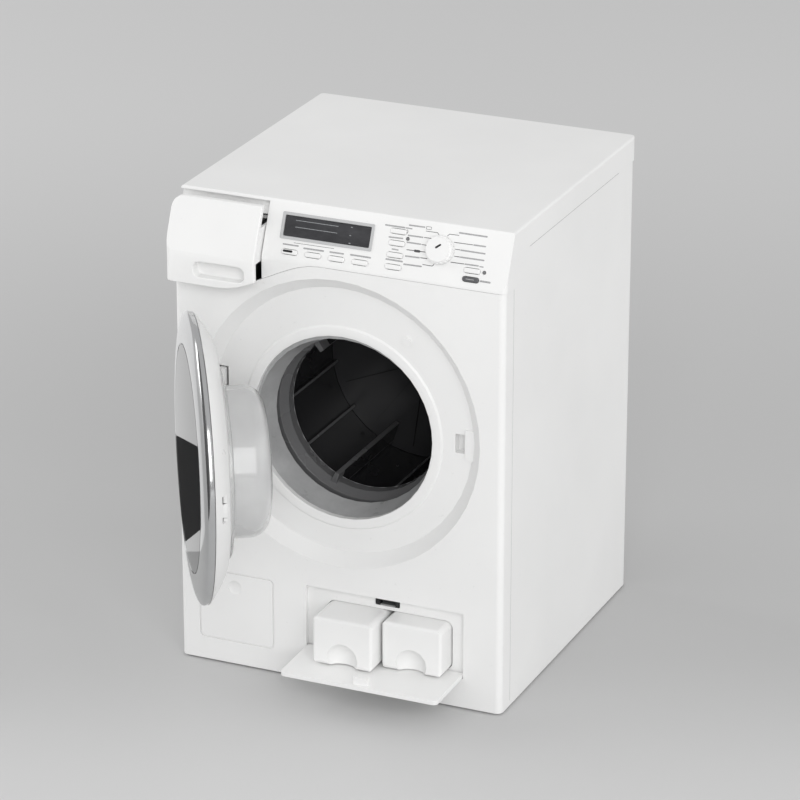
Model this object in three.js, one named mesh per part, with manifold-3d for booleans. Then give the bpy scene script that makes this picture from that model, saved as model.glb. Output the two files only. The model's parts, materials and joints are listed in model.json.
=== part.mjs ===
// Toy washing machine: a front loader with an open porthole door, a detergent drawer,
// two small containers behind a service flap, and a motor driven drum.
// Millimetres. +Z is up and the front faces -Y. Lengths below are measured from the centre of the
// cabinet's footprint, and the finished toy is then set down centred with its door open.
// Moving pieces are modelled in their closed place and then set to the pose they are shown in.

import * as THREE from 'three';
import { mergeVertices } from 'three/addons/utils/BufferGeometryUtils.js';
import Module from 'manifold-3d';

const wasm = await Module();
wasm.setup();

// Overall size and the moulded walls
const WIDTH = 184;
const DEPTH = 180;
const HEIGHT = 260;
const WALL = 2.2;
const SEAM_GAP = 0.2;
const FACE_GAP = 0.05;
const RUN_GAP = 0.4;
const CUT_OVERRUN = 4;
const CABINET_CORNER_RADIUS = 3.5;
const COVER_PROUD = 0.5;
const COVER_SIDE_EDGE = 1.5;

// Top cover and slanted fascia
const COVER_SKIRT_HEIGHT = 13;
const FASCIA_TILT_DEG = 23;
const FASCIA_BEND_DROP = 27.9;
const FASCIA_BEND_LENGTH = 1.6;
const FASCIA_SEAM_DROP = 28.8;
const COVER_EDGE = 1.2;
const FRONT_RETURN = 12;
const SKIRT_STEP_RUN = 20;
const SEAM_POINTS = 10;

// The seam falls in an S curve below the drawer
const DRAWER_SEAM_DROP = 45.5;
const SEAM_CURVE_INSET = 20.2;
const SEAM_CURVE_RUN = 52;

// Porthole dish in the front panel
const DISH_SEAM_GAP = 5.75;
const DISH_RECESS_GAP = 13.75;
const DISH_SIDE_GAP = 13.15;
const DISH_SLOPE = 6.45;
const DISH_DEPTH = 6.8;
const OPENING_DROP = 3.8;
const OPENING_SHARE = 0.692;
const BEAD_WIDTH = 6.6;
const BEAD_PROUD = 1.2;
const BEAD_TRIM = 0.8;
const DISH_WALL = 2.6;
const PEG_DEG = 54.1;
const PEG_INSET = 18;
const PEG_RADIUS = 2.35;
const PEG_PROUD = 1.1;

// Hinge slots and latch slot in the dish floor
const HINGE_SLOT_INSET = 14.25;
const HINGE_SLOT_WIDTH = 5.8;
const HINGE_SLOT_TALL = 11;
const HINGE_SLOT_RISE = 14.4;
const HINGE_SLOT_REACH = 2.3;
const LATCH_SLOT_INSET = 16.35;
const LATCH_SLOT_WIDTH = 5.1;
const LATCH_SLOT_TALL = 10.4;
const LATCH_DROP = 1.7;
const LATCH_POCKET_DEPTH = 5;
const LATCH_POCKET_WALL = 1.2;
const LAND_INSET = 10.55;
const LAND_WIDTH = 8.2;
const LAND_TALL = 16.5;
const LAND_PROUD = 1;

// Moulded filter panel outline, low on the left
const FILTER_SIDE_GAP = 11.5;
const FILTER_RECESS_GAP = 18.5;
const FILTER_BOTTOM = 13.5;
const FILTER_TOP_GAP = 0.5;
const FILTER_CORNER = 2.5;
const GROOVE_WIDTH = 0.9;
const GROOVE_DEPTH = 0.7;
const DIMPLE_SHARE = 0.478;
const DIMPLE_DROP = 8.4;
const DIMPLE_RADIUS = 4;
const DIMPLE_DEPTH = 1.1;

// Service recess, its flap and the container pocket, low on the right
const RECESS_SIDE_GAP = 21.6;
const RECESS_WIDTH = 88.9;
const RECESS_BOTTOM = 17.1;
const RECESS_TOP_SHARE = 0.2077;
const RECESS_DEPTH = 2.8;
const RECESS_CORNER = 0.5;
const RECESS_RIM = 3;
const POCKET_LEFT_GAP = 11.5;
const POCKET_RIGHT_GAP = 7.1;
const POCKET_RISE = 2.9;
const POCKET_DROP = 6.8;
const POCKET_CORNER = 4;
const POCKET_WALL = 1.8;
const FLAP_THICKNESS = 2.4;
const FLAP_OPEN_DEG = 91;
const FLAP_PIN_RADIUS = 0.7;
const FLAP_PIN_LENGTH = 1.6;
const FLAP_CORNER = 2.5;
const FLAP_TAB_WIDTH = 8;
const FLAP_TAB_TALL = 2.2;
const FLAP_TAB_LENGTH = 4;
const FLAP_TAB_INSET = 2;
const FLAP_LATCH_SHIFT = -1.4;
const FLAP_LATCH_DROP = 2.55;
const FLAP_LATCH_WIDTH = 13.5;
const FLAP_LATCH_TALL = 4.3;
const FLAP_LATCH_CORNER = 0.6;
const FLAP_LATCH_FLANGE = 1.5;
const FLAP_LATCH_FLANGE_THICKNESS = 1.2;

// Containers
const CONTAINER_LENGTH = 50;
const CONTAINER_CORNER = 3.5;
const CONTAINER_EDGE = 2.4;
const CONTAINER_WALL = 1.6;
const CONTAINER_FACE = 9;
const CONTAINER_BROW = 23;
const CONTAINER_LIP = 1.5;
const CONTAINER_LIFT = 0.25;
const BOX_SIDE_GAP = 0.6;
const BOX_GAP = 1.2;
const SCOOP_RADIUS = 8.8;
const SCOOP_DROP = 4.5;
const SCOOP_BITE = 6;
const SCOOP_TALL = 13.5;
const CONTAINER_LEFT_OUT = 22.1;
const CONTAINER_RIGHT_OUT = 13.6;
const POCKET_LEG = 4;
const CONTAINER_FRONT_INSET = 0.3;

// Door
const DOOR_OPEN_DEG = 57.3;
const HINGE_OUTSET = 6.1;
const HINGE_BEHIND_FRONT = 6.4;
const DOOR_DISH_GAP = 4.95;
const DOOR_GLASS_SHARE = 0.7794;
const DOOR_GLASS_THICKNESS = 1.5;
const DOOR_GLASS_DOME = 0.6;
const DOOR_PROUD = 9.7;
const DOOR_RING_DEPTH = 5.8;
const DOOR_RING_CROWN = 3.7;
const DOOR_RING_WALL = 2.6;
const DOOR_LEDGE = 2.4;
const DOOR_FRAME_INSET = 0.3;
const DOOR_FRAME_TAPER = 15;
const DOOR_FRAME_CURVE = 1.7;
const DOOR_FRAME_WALL = 2;
const BOWL_SHARE = 0.7665;
const BOWL_END_SHARE = 0.7422;
const BOWL_RISE = 0.6;
const BOWL_DEPTH = 24;
const BOWL_CROWN = 1;
const BOWL_WALL = 1.6;
const BOWL_FLANGE = 4;
const BOWL_FLANGE_THICKNESS = 1.5;
const SIDE_SLOT_TALL = 14.6;
const SIDE_SLOT_WIDTH = 3.2;
const SIDE_SLOT_DEPTH = 2;
const SIDE_SLOT_SHIFT = 0.8;
const TONGUE_THICKNESS = 3;
const TONGUE_TALL = 7.6;
const TONGUE_LENGTH = 5;
const TONGUE_ROOT = 1.6;
const TONGUE_FLANGE = 1.5;

// Door hinge: pin, bracket and two curved arms
const PIN_RADIUS = 1.5;
const PIN_CLEARANCE = 0.15;
const KNUCKLE_RADIUS = 3;
const ARM_RADIUS = 12.6;
const ARM_THICKNESS = 3.4;
const ARM_TALL = 9.4;
const ARM_ROOT_DEG = -42;
const ARM_END_DEG = 124;
const ARM_LINK_BACK_DEG = 7.7;
const BRACKET_WEB = 3;
const BRACKET_LUG_TALL = 3.2;
const BRACKET_LUG_REACH = 2.6;
const BRACKET_CORNER = 1.2;
const BRACKET_GRIP = 3.6;

// Drum and its housing
const DRUM_DROP = 2;
const DRUM_OPENING_GAP = 3.9;
const DRUM_WALL = 1.6;
const DRUM_FRONT_INSET = 30;
const DRIVE_ROOM = 67;
const DRUM_LIP_GAP = 2;
const DRUM_LIP_LENGTH = 5.8;
const DRUM_COLLAR_LENGTH = 4.6;
const DRUM_COLLAR_FLARE = 3.1;
const DRUM_RIBS = 12;
const DRUM_BAFFLE_EVERY = 4;
const DRUM_PHASE_DEG = 7;
const DRUM_BAFFLE_TALL = 15;
const DRUM_BAFFLE_THICKNESS = 2.4;
const DRUM_BAFFLE_ROOT_SHARE = 2;
const DRUM_FIN_GAP = 1;
const DRUM_RIB_TALL = 3.4;
const DRUM_RIB_THICKNESS = 1.4;
const DRUM_HUB_RADIUS = 9;
const DRUM_HUB_TALL = 3;
const DRUM_HUB_SHARE = 0.7;
const DRUM_SPOKE_TALL = 1.4;
const DRUM_SPOKE_WIDTH = 1.8;
const DRUM_END_THICKNESS = 2;
const GASKET_OPENING_GAP = 4.4;
const GASKET_DEPTH = 14.9;
const GASKET_WALL = 1.5;
const GASKET_FLARE = 3.9;
const TUB_WALL = 2;
const TUB_GAP = 2.4;
const TUB_BOSS_RADIUS = 8;
const TUB_BOSS_LENGTH = 8;

// Drive: shaft, gear pair and motor
const SHAFT_RADIUS = 3;
const SHAFT_CLEARANCE = 0.2;
const GEAR_MODULE_SHARE = 0.02315;
const GEAR_TEETH = 48;
const PINION_TEETH = 12;
const GEAR_WIDTH = 5;
const GEAR_GAP = 1.2;
const PRESSURE_ANGLE_DEG = 20;
const ROOT_SHARE = 1.25;
const TIP_SHARE = 0.95;
const TOOTH_WIDTH_SHARE = 0.86;
const MOTOR_ANGLE_DEG = 45;
const MOTOR_RADIUS = 12;
const MOTOR_LENGTH = 30;
const MOTOR_SHAFT_RADIUS = 1;
const MOTOR_BOSS_RADIUS = 4;
const MOTOR_PLATE_THICKNESS = 2;
const MOTOR_PLATE_RIM = 6;
const MOTOR_POST_RADIUS = 4;
const MOTOR_POST_SPREAD = 21;
const MOTOR_POST_OUTSET = 8.5;

// Detergent drawer
const DRAWER_SHARE = 0.2728;
const DRAWER_TOP_GAP = 2;
const DRAWER_LINTEL_DROP = 9;
const DRAWER_OUT = 9;
const DRAWER_SEAM_GAP = 0.4;
const DRAWER_FRONT_THICKNESS = 3;
const DRAWER_CORNER = 6;
const DRAWER_COLUMN_WIDTH = 5.7;
const GRIP_SIDE_GAP = 16;
const GRIP_EDGE_GAP = 5.7;
const GRIP_RISE = 4.8;
const GRIP_TALL = 8.3;
const GRIP_DEPTH = 5.4;
const GRIP_WALL = 1.5;
const GRIP_ROUND_SHARE = 0.8;
const TRAY_GRIP_GAP = 0.3;
const TRAY_TALL = 17.4;
const TRAY_WALL = 1.6;
const TRAY_SIDE_GAP = 7.4;
const TRAY_EDGE_GAP = 0.5;
const TRAY_LENGTH = 64;
const TRAY_CORNER = 3;
const TRAY_DIVIDER_SHARE = 0.62;
const SLEEVE_WALL = 1.6;
const SLEEVE_FRONT_INSET = 15;
const SLEEVE_LENGTH = 54;
const SLEEVE_HANGER = 4;

// Controls, in fascia coordinates: x, and drop measured down the slope from its top edge.
// The groups stand apart by shares of the width that they leave free on the fascia.
const DISPLAY_GAP_SHARE = 0.168;
const COLUMN_GAP_SHARE = 0.166;
const KNOB_GAP_SHARE = 0.242;
const START_GAP_SHARE = 0.127;
const DISPLAY_WIDTH = 50.6;
const DISPLAY_TOP_DROP = 5.9;
const DISPLAY_BOTTOM_DROP = 19.6;
const DISPLAY_BORDER = 1.5;
const DISPLAY_PROUD = 0.5;
const DISPLAY_CORNER = 0.6;
const DISPLAY_FLANGE = 0.9;
const DISPLAY_LEDGE = 0.8;
const DISPLAY_DEPTH = 2.6;
const LENS_THICKNESS = 1.2;
const BUTTON_WIDTH = 8.8;
const BUTTON_TALL = 2.5;
const BUTTON_PROUD = 0.7;
const BUTTON_FLANGE = 0.7;
const BUTTON_FLANGE_THICKNESS = 1.2;
const BUTTON_STEM_RADIUS = 0.9;
const BUTTON_STEM_LENGTH = 3.2;
const BUTTON_TRAVEL = 0.6;
const BUTTON_CLEARANCE = 0.25;
const BUTTON_ROUND_SHARE = 0.9;
const ROW_BUTTONS = 4;
const ROW_INSET = 6.5;
const ROW_PITCH = 12.95;
const ROW_DROP = 25.9;
const COLUMN_BUTTONS = 4;
const COLUMN_FIRST_DROP = 7.6;
const COLUMN_PITCH = 6;
const START_DROP = 21.6;
const POWER_DROP = 26;
const KNOB_DROP = 13.7;
const KNOB_RADIUS = 7.2;
const KNOB_TOP_RADIUS = 6.2;
const KNOB_PROUD = 4.6;
const KNOB_SHOULDER = 1;
const KNOB_RIM_RADIUS = 6.8;
const KNOB_FLUTES = 20;
const KNOB_FLUTE_DEPTH = 0.35;
const KNOB_STEM_RADIUS = 2;
const KNOB_POINTER_DEG = 38;
const KNOB_POINTER_RISE = 1.6;
const KNOB_POINTER_LENGTH = 2.6;
const KNOB_POINTER_WIDTH = 0.8;
const KNOB_POINTER_DEPTH = 0.4;
const LAMP_RADIUS = 0.8;
const LAMP_PROUD = 0.3;
const LAMP_FLANGE_RADIUS = 1.5;
const LAMP_FLANGE_THICKNESS = 1;
const LAMP_SHIFT = 5.5;
const LAMP_DROP = 10.6;
const START_LAMP_SHIFT = 6.6;
const BOARD_DISPLAY_REACH = 3.8;
const BOARD_SIDE_GAP = 9;
const BOARD_TOP_DROP = 4;
const BOARD_BOTTOM_DROP = 29;
const BOARD_THICKNESS = 1.6;
const SWITCH_TALL = 1.6;
const SWITCH_RADIUS = 1.8;
const ENCODER_RADIUS = 5;
const ENCODER_TALL = 3.5;
const SWITCH_GAP = 0.1;
const BOSS_RADIUS = 2;
const BOSS_COLUMN_GAP = 8.6;
const BOSS_UPPER_DROP = 11;
const BOSS_LOWER_DROP = 22;
const BOSS_SHARE = 0.2;

// Underside and back
const FLOOR_CLEARANCE = 1;
const BASE_THICKNESS = 2.4;
const BASE_HEIGHT = 2.2;
const FOOT_RADIUS = 7;
const FOOT_TAPER = 0.8;
const FOOT_INSET = 16;
const BATTERY_RADIUS = 13;
const BATTERY_LENGTH = 50;
const BATTERY_GAP = 0.5;
const BATTERY_NIB_RADIUS = 3;
const BATTERY_NIB_LENGTH = 1.4;
const BATTERY_ROOM_INSET = 74;
const BATTERY_BOX_FLANGE = 3;
const BATTERY_BOX_WALL = 1.6;
const BATTERY_DOOR_CORNER = 2;
const BATTERY_DOOR_LIP = 3;
const BATTERY_GRIP_WIDTH = 16;
const BATTERY_GRIP_LENGTH = 8;
const SCREW_HEAD_RADIUS = 2.8;
const SCREW_HEAD_TALL = 1.4;
const SCREW_SHANK_RADIUS = 1.3;
const SCREW_SHANK_LENGTH = 7;
const SCREW_SLOT = 0.7;
const SCREW_BOSS_RADIUS = 3.6;
const SCREW_BOSS_TALL = 12;
const SCREW_BOSS_BITE = 0.6;
const SCREW_CLEARANCE = 0.2;

// Facet counts
const ROUND_FACETS = 36;
const PIN_FACETS = 14;
const SCREW_FACETS = 8;
const MOTOR_FACETS = 16;
const DISH_FACETS = 44;
const BEAD_STEPS = 4;
const RING_STEPS = 4;
const BOWL_STEPS = 3;
const ARM_STEPS = 10;
const FLAP_EDGE_STEPS = 5;
const FULL_TURN_DEG = 360;
const ARC_STEPS = 2;
const SCOOP_FACETS = 14;
const DOME_SHOULDER_SHARE = 0.8;
const DOME_RISE_SHARE = 0.6;

// Planes that several pieces share
const FRONT = -DEPTH / 2;
const BACK = DEPTH / 2;
const SIDE = WIDTH / 2;
const BODY_SIDE = SIDE - COVER_PROUD;
const RETURN_PLANE = FRONT + FRONT_RETURN;
const DISH_FLOOR = FRONT + DISH_DEPTH;
const PANEL_BACK = DISH_FLOOR + WALL;
const SKIRT_HEIGHT = HEIGHT - COVER_SKIRT_HEIGHT;
const FASCIA_BEND_HEIGHT = HEIGHT - FASCIA_BEND_DROP;
const FASCIA_SEAM_HEIGHT = HEIGHT - FASCIA_SEAM_DROP;
const DRAWER_SEAM_HEIGHT = HEIGHT - DRAWER_SEAM_DROP;
const DRAWER_RIGHT = WIDTH * DRAWER_SHARE - SIDE;
const DRAWER_TOP = HEIGHT - DRAWER_TOP_GAP;
const SEAM_CURVE_START = DRAWER_RIGHT - SEAM_CURVE_INSET;
const SEAM_CURVE_END = SEAM_CURVE_START + SEAM_CURVE_RUN;

// The dish is the largest circle that keeps its gaps to the seam, the recess and the sides
const RECESS_TOP = HEIGHT * RECESS_TOP_SHARE;
const DISH_TOP = FASCIA_SEAM_HEIGHT - DISH_SEAM_GAP;
const DISH_BOTTOM = RECESS_TOP + DISH_RECESS_GAP;
const DISH_HEIGHT = (DISH_TOP + DISH_BOTTOM) / 2;
const DISH_RADIUS = Math.min((DISH_TOP - DISH_BOTTOM) / 2, SIDE - DISH_SIDE_GAP);
const DISH_FLOOR_RADIUS = DISH_RADIUS - DISH_SLOPE;
const OPENING_RADIUS = DISH_FLOOR_RADIUS * OPENING_SHARE;
const OPENING_HEIGHT = DISH_HEIGHT - OPENING_DROP;
const PEG_X = (DISH_RADIUS - PEG_INSET) * Math.cos(THREE.MathUtils.degToRad(PEG_DEG));
const PEG_HEIGHT = DISH_HEIGHT + (DISH_RADIUS - PEG_INSET) * Math.sin(THREE.MathUtils.degToRad(PEG_DEG));
const HINGE_SLOT_RIGHT = HINGE_SLOT_INSET - DISH_RADIUS;
const LATCH_SLOT_LEFT = DISH_RADIUS - LATCH_SLOT_INSET;
const LATCH_HEIGHT = DISH_HEIGHT - LATCH_DROP;
const LAND_LEFT = DISH_RADIUS - LAND_INSET;
const LAND_RIGHT = LAND_LEFT + LAND_WIDTH;

// Door, drum and gasket take their radii from the dish and its opening
const DOOR_RADIUS = DISH_RADIUS - DOOR_DISH_GAP;
const DOOR_GLASS_RADIUS = DOOR_RADIUS * DOOR_GLASS_SHARE;
const DOOR_FRAME_RADIUS = DOOR_RADIUS - DOOR_FRAME_INSET;
const DOOR_FACE_RADIUS = DOOR_FRAME_RADIUS - DOOR_FRAME_TAPER;
const HINGE_X = -DOOR_RADIUS - HINGE_OUTSET;
const BOWL_RADIUS = OPENING_RADIUS * BOWL_SHARE;
const BOWL_END_RADIUS = BOWL_RADIUS * BOWL_END_SHARE;
const BOWL_HEIGHT = OPENING_HEIGHT + BOWL_RISE;
const DRUM_HEIGHT = OPENING_HEIGHT - DRUM_DROP;
const DRUM_RADIUS = OPENING_RADIUS + DRUM_OPENING_GAP;
const GASKET_INNER_RADIUS = OPENING_RADIUS - GASKET_OPENING_GAP;
const DRUM_LIP_RADIUS = GASKET_INNER_RADIUS - DRUM_LIP_GAP;
const GEAR_MODULE = DRUM_RADIUS * GEAR_MODULE_SHARE;

// Low on the front: recess, container pocket and filter panel
const RECESS_RIGHT = SIDE - RECESS_SIDE_GAP;
const RECESS_LEFT = RECESS_RIGHT - RECESS_WIDTH;
const POCKET_LEFT = RECESS_LEFT + POCKET_LEFT_GAP;
const POCKET_RIGHT = RECESS_RIGHT - POCKET_RIGHT_GAP;
const POCKET_BOTTOM = RECESS_BOTTOM + POCKET_RISE;
const POCKET_TOP = RECESS_TOP - POCKET_DROP;
const BOX_LEFT = POCKET_LEFT + BOX_SIDE_GAP;
const BOX_RIGHT = POCKET_RIGHT - BOX_SIDE_GAP;
const LATCH_X = (POCKET_LEFT + POCKET_RIGHT) / 2 + FLAP_LATCH_SHIFT;
const FLAP_LATCH_HEIGHT = RECESS_TOP - FLAP_LATCH_DROP;
const FILTER_LEFT = FILTER_SIDE_GAP - SIDE;
const FILTER_RIGHT = RECESS_LEFT - FILTER_RECESS_GAP;
const FILTER_TOP = RECESS_TOP - FILTER_TOP_GAP;
const DIMPLE_X = THREE.MathUtils.lerp(FILTER_LEFT, FILTER_RIGHT, DIMPLE_SHARE);
const DIMPLE_HEIGHT = FILTER_TOP - DIMPLE_DROP;

// Drawer grip and tray
const GRIP_LEFT = GRIP_SIDE_GAP - SIDE;
const GRIP_RIGHT = DRAWER_RIGHT - GRIP_EDGE_GAP;
const GRIP_BOTTOM = DRAWER_SEAM_HEIGHT + GRIP_RISE;
const GRIP_TOP = GRIP_BOTTOM + GRIP_TALL;
const TRAY_BOTTOM = GRIP_TOP + GRIP_WALL + TRAY_GRIP_GAP;
const TRAY_TOP = TRAY_BOTTOM + TRAY_TALL;
const TRAY_LEFT = TRAY_SIDE_GAP - SIDE;
const TRAY_RIGHT = DRAWER_RIGHT - TRAY_EDGE_GAP;

// Places of the controls across the fascia
const CONTROLS_WIDTH = DISPLAY_WIDTH + 2 * BUTTON_WIDTH + 2 * KNOB_RADIUS;
const FREE_WIDTH = SIDE - DRAWER_RIGHT - CONTROLS_WIDTH;
const DISPLAY_LEFT = DRAWER_RIGHT + FREE_WIDTH * DISPLAY_GAP_SHARE;
const DISPLAY_RIGHT = DISPLAY_LEFT + DISPLAY_WIDTH;
const COLUMN_X = DISPLAY_RIGHT + FREE_WIDTH * COLUMN_GAP_SHARE + BUTTON_WIDTH / 2;
const KNOB_X = COLUMN_X + BUTTON_WIDTH / 2 + FREE_WIDTH * KNOB_GAP_SHARE + KNOB_RADIUS;
const START_X = KNOB_X + KNOB_RADIUS + FREE_WIDTH * START_GAP_SHARE + BUTTON_WIDTH / 2;
const ROW_FIRST_X = DISPLAY_LEFT + ROW_INSET;
const LAMP_X = COLUMN_X + LAMP_SHIFT;
const START_LAMP_X = START_X + START_LAMP_SHIFT;
const BOARD_LEFT = DISPLAY_LEFT - BOARD_DISPLAY_REACH;
const BOARD_RIGHT = SIDE - BOARD_SIDE_GAP;
const BOSS_X = COLUMN_X - BOSS_COLUMN_GAP;
const BOSS_RIGHT_X = KNOB_X + KNOB_RADIUS + FREE_WIDTH * START_GAP_SHARE * BOSS_SHARE;

// Planes of the moving pieces and of what stands behind them
const FASCIA_TILT = THREE.MathUtils.degToRad(FASCIA_TILT_DEG);
const FASCIA_TOP_Y = FRONT + (HEIGHT - FASCIA_BEND_HEIGHT) * Math.tan(FASCIA_TILT);
const HINGE_Y = FRONT + HINGE_BEHIND_FRONT;
const DOOR_FACE = DISH_FLOOR - BEAD_PROUD - SEAM_GAP;
const DOOR_FRAME_DEPTH = DOOR_FACE - FRONT + DOOR_PROUD - DOOR_RING_DEPTH - SEAM_GAP;
const RECESS_FLOOR = FRONT + RECESS_DEPTH;
const PAD_BACK = RECESS_FLOOR + WALL;
const BASE_TOP = BASE_HEIGHT + BASE_THICKNESS;
const FLAP_PIVOT = [FRONT + FLAP_THICKNESS / 2, RECESS_BOTTOM + RUN_GAP + FLAP_THICKNESS / 2];
const FLAP_TAB_HEIGHT = RECESS_TOP - RUN_GAP - FLAP_TAB_INSET - FLAP_TAB_TALL / 2;
const BOX_MIDDLE = (BOX_LEFT + BOX_RIGHT) / 2;
const DRUM_FRONT = FRONT + DRUM_FRONT_INSET;
const DRUM_BACK = BACK - DRIVE_ROOM;
const TUB_INNER = DRUM_RADIUS + DRUM_WALL + TUB_GAP;
const TUB_BACK = DRUM_BACK + TUB_GAP + TUB_WALL;
const SHAFT_FRONT = DRUM_BACK - DRUM_END_THICKNESS - DRUM_HUB_TALL / 2;
const GEAR_FRONT = TUB_BACK + TUB_BOSS_LENGTH + GEAR_GAP;
const MOTOR_DISTANCE = (GEAR_MODULE * (GEAR_TEETH + PINION_TEETH)) / 2;
const MOTOR_POST_DISTANCE = MOTOR_DISTANCE + MOTOR_POST_OUTSET;
const MOTOR_PLATE_FRONT = GEAR_FRONT + GEAR_WIDTH + GEAR_GAP;
const MOTOR_BODY_FRONT = MOTOR_PLATE_FRONT + MOTOR_PLATE_THICKNESS + SEAM_GAP;
const BATTERY_ROOM_FRONT = FRONT + BATTERY_ROOM_INSET;
const BATTERY_ROOM_RIGHT = 2 * BATTERY_RADIUS + (3 * BATTERY_GAP) / 2;
const BATTERY_ROOM_LEFT = -BATTERY_ROOM_RIGHT;
const BATTERY_ROOM_BACK = BATTERY_ROOM_FRONT + BATTERY_LENGTH + BATTERY_NIB_LENGTH + 2 * BATTERY_GAP;
const batteryPlaces = [-1, 1].map((way) => way * (BATTERY_RADIUS + BATTERY_GAP / 2));

const white = paint('#eceded', 0.42);
const doorWhite = paint('#e6e7e7', 0.4);
const silver = paint('#9d9fa1', 0.25, 0.8);
const smokeGlass = paint('#1d1e20', 0.12);
const clearPlastic = paint('#dfe3e5', 0.08);
const greyRubber = paint('#6f7174', 0.6);
const smokePlastic = paint('#2b2c2e', 0.3);
const blackPlastic = paint('#17181a', 0.45);
const darkGrey = paint('#55585b', 0.4);
const steel = paint('#b4b6b8', 0.3, 0.9);
const boardGreen = paint('#2d5c3c', 0.6);
const gearWhite = paint('#d8d8d2', 0.5);
const greyPlastic = paint('#8c8e90', 0.55);
const motorSteel = paint('#8f9294', 0.35, 0.8);

function paint(colour, roughness, metalness = 0) {
  return new THREE.MeshStandardMaterial({ color: colour, roughness, metalness });
}

// Turns a closed three.js geometry into a solid that can be joined and cut.
function solid(geometry) {
  const bare = geometry.clone();
  bare.deleteAttribute('normal');
  bare.deleteAttribute('uv');
  const merged = mergeVertices(bare);
  const points = Float32Array.from(merged.attributes.position.array);
  const corners = merged.index.array;
  const kept = [];
  let volume = 0;
  for (let i = 0; i < corners.length; i += 3) {
    const [a, b, c] = corners.slice(i, i + 3);
    if (a === b || b === c || c === a) continue;
    kept.push([a, b, c]);
    const [p, q, r] = [a, b, c].map((k) => new THREE.Vector3().fromArray(points, 3 * k));
    volume += p.dot(q.cross(r));
  }
  const turned = volume < 0 ? kept.map(([a, b, c]) => [a, c, b]) : kept;
  const triVerts = Uint32Array.from(turned.flat());
  return new wasm.Manifold(new wasm.Mesh({ numProp: 3, vertProperties: points, triVerts }));
}

function union(...solids) {
  return solids.reduce((whole, next) => whole.add(next));
}

function cut(whole, ...tools) {
  return tools.reduce((left, tool) => left.subtract(tool), whole);
}

// A named mesh from a finished solid.
function piece(name, shape, material) {
  const mesh = shape.getMesh();
  const geometry = new THREE.BufferGeometry();
  geometry.setAttribute('position', new THREE.BufferAttribute(Float32Array.from(mesh.vertProperties), 3));
  geometry.setIndex(new THREE.BufferAttribute(Uint32Array.from(mesh.triVerts), 1));
  geometry.computeVertexNormals();
  const part = new THREE.Mesh(geometry, material);
  part.name = name;
  return part;
}

// A block between two corners.
function block(x0, x1, y0, y1, z0, z1) {
  const geometry = new THREE.BoxGeometry(x1 - x0, y1 - y0, z1 - z0);
  geometry.translate((x0 + x1) / 2, (y0 + y1) / 2, (z0 + z1) / 2);
  return solid(geometry);
}

// An outline of (y, z) points carried along X, of (x, z) points along Y, or of (x, y) points along Z.
function prismGeometry(outline, axis, from, to, steps = ARC_STEPS) {
  const geometry = new THREE.ExtrudeGeometry(outline, {
    depth: to - from,
    bevelEnabled: false,
    curveSegments: steps,
  });
  const [ex, ey, ez] = [[1, 0, 0], [0, 1, 0], [0, 0, 1]].map((v) => new THREE.Vector3(...v));
  const basis = new THREE.Matrix4();
  if (axis === 'x') basis.makeBasis(ey, ez, ex).setPosition(from, 0, 0);
  if (axis === 'y') basis.makeBasis(ex, ez, ey.clone().negate()).setPosition(0, to, 0);
  if (axis === 'z') basis.makeBasis(ex, ey, ez).setPosition(0, 0, from);
  geometry.applyMatrix4(basis);
  return geometry;
}

function prism(outline, axis, from, to, steps) {
  return solid(prismGeometry(outline, axis, from, to, steps));
}

function polygon(points) {
  return new THREE.Shape(points.map(([a, b]) => new THREE.Vector2(a, b)));
}

function roundedRect(a0, a1, b0, b1, radius) {
  const shape = new THREE.Shape();
  const quarter = Math.PI / 2;
  shape.absarc(a1 - radius, b0 + radius, radius, -quarter, 0);
  shape.absarc(a1 - radius, b1 - radius, radius, 0, quarter);
  shape.absarc(a0 + radius, b1 - radius, radius, quarter, 2 * quarter);
  shape.absarc(a0 + radius, b0 + radius, radius, 2 * quarter, 3 * quarter);
  shape.closePath();
  return shape;
}

// A block with rounded upright edges.
function roundedBlock(x0, x1, y0, y1, z0, z1, radius) {
  return prism(roundedRect(x0, x1, y0, y1, radius), 'z', z0, z1);
}

// A ball stretched to three half widths about a middle.
function ellipsoid(halves, middle) {
  const geometry = new THREE.SphereGeometry(1, SCOOP_FACETS, SCOOP_FACETS / 2);
  return solid(geometry.scale(...halves).translate(...middle));
}

// A profile of (radius, y) points turned about an axis along Y through (x, z).
function turned(profile, x, z, facets = ROUND_FACETS) {
  const points = profile.map(([r, y]) => new THREE.Vector2(r, y));
  const onAxis = profile[0][0] === 0;
  if (!onAxis) points.push(points[0].clone());
  const geometry = new THREE.LatheGeometry(points, facets);
  geometry.translate(x, 0, z);
  return solid(geometry);
}

// A plain rod along Y.
function rodY(radius, x, z, from, to, facets = PIN_FACETS) {
  return turned([[0, from], [radius, from], [radius, to], [0, to]], x, z, facets);
}

// A plain rod along another axis.
function rodAlong(axis, radius, at, from, to, facets = PIN_FACETS) {
  const geometry = new THREE.CylinderGeometry(radius, radius, to - from, facets);
  if (axis === 'z') geometry.rotateX(Math.PI / 2).translate(at[0], at[1], (from + to) / 2);
  if (axis === 'x') geometry.rotateZ(Math.PI / 2).translate((from + to) / 2, at[0], at[1]);
  return solid(geometry);
}

// A group that turns about a line through a point, or that is drawn out, with its pieces in closed places.
function hinged(point, axis, degrees) {
  const outer = new THREE.Group();
  const inner = new THREE.Group();
  outer.position.set(...point);
  outer.rotation[axis] = THREE.MathUtils.degToRad(degrees);
  inner.position.set(...point.map((v) => -v));
  outer.add(inner);
  return [outer, inner];
}

function drawnOut(distance) {
  const group = new THREE.Group();
  group.position.y = -distance;
  return group;
}

// Height of the seam between front panel and fascia at a place across the front.
function seamHeight(x) {
  const along = THREE.MathUtils.smoothstep(x, SEAM_CURVE_START, SEAM_CURVE_END);
  return THREE.MathUtils.lerp(DRAWER_SEAM_HEIGHT, FASCIA_SEAM_HEIGHT, along);
}

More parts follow.
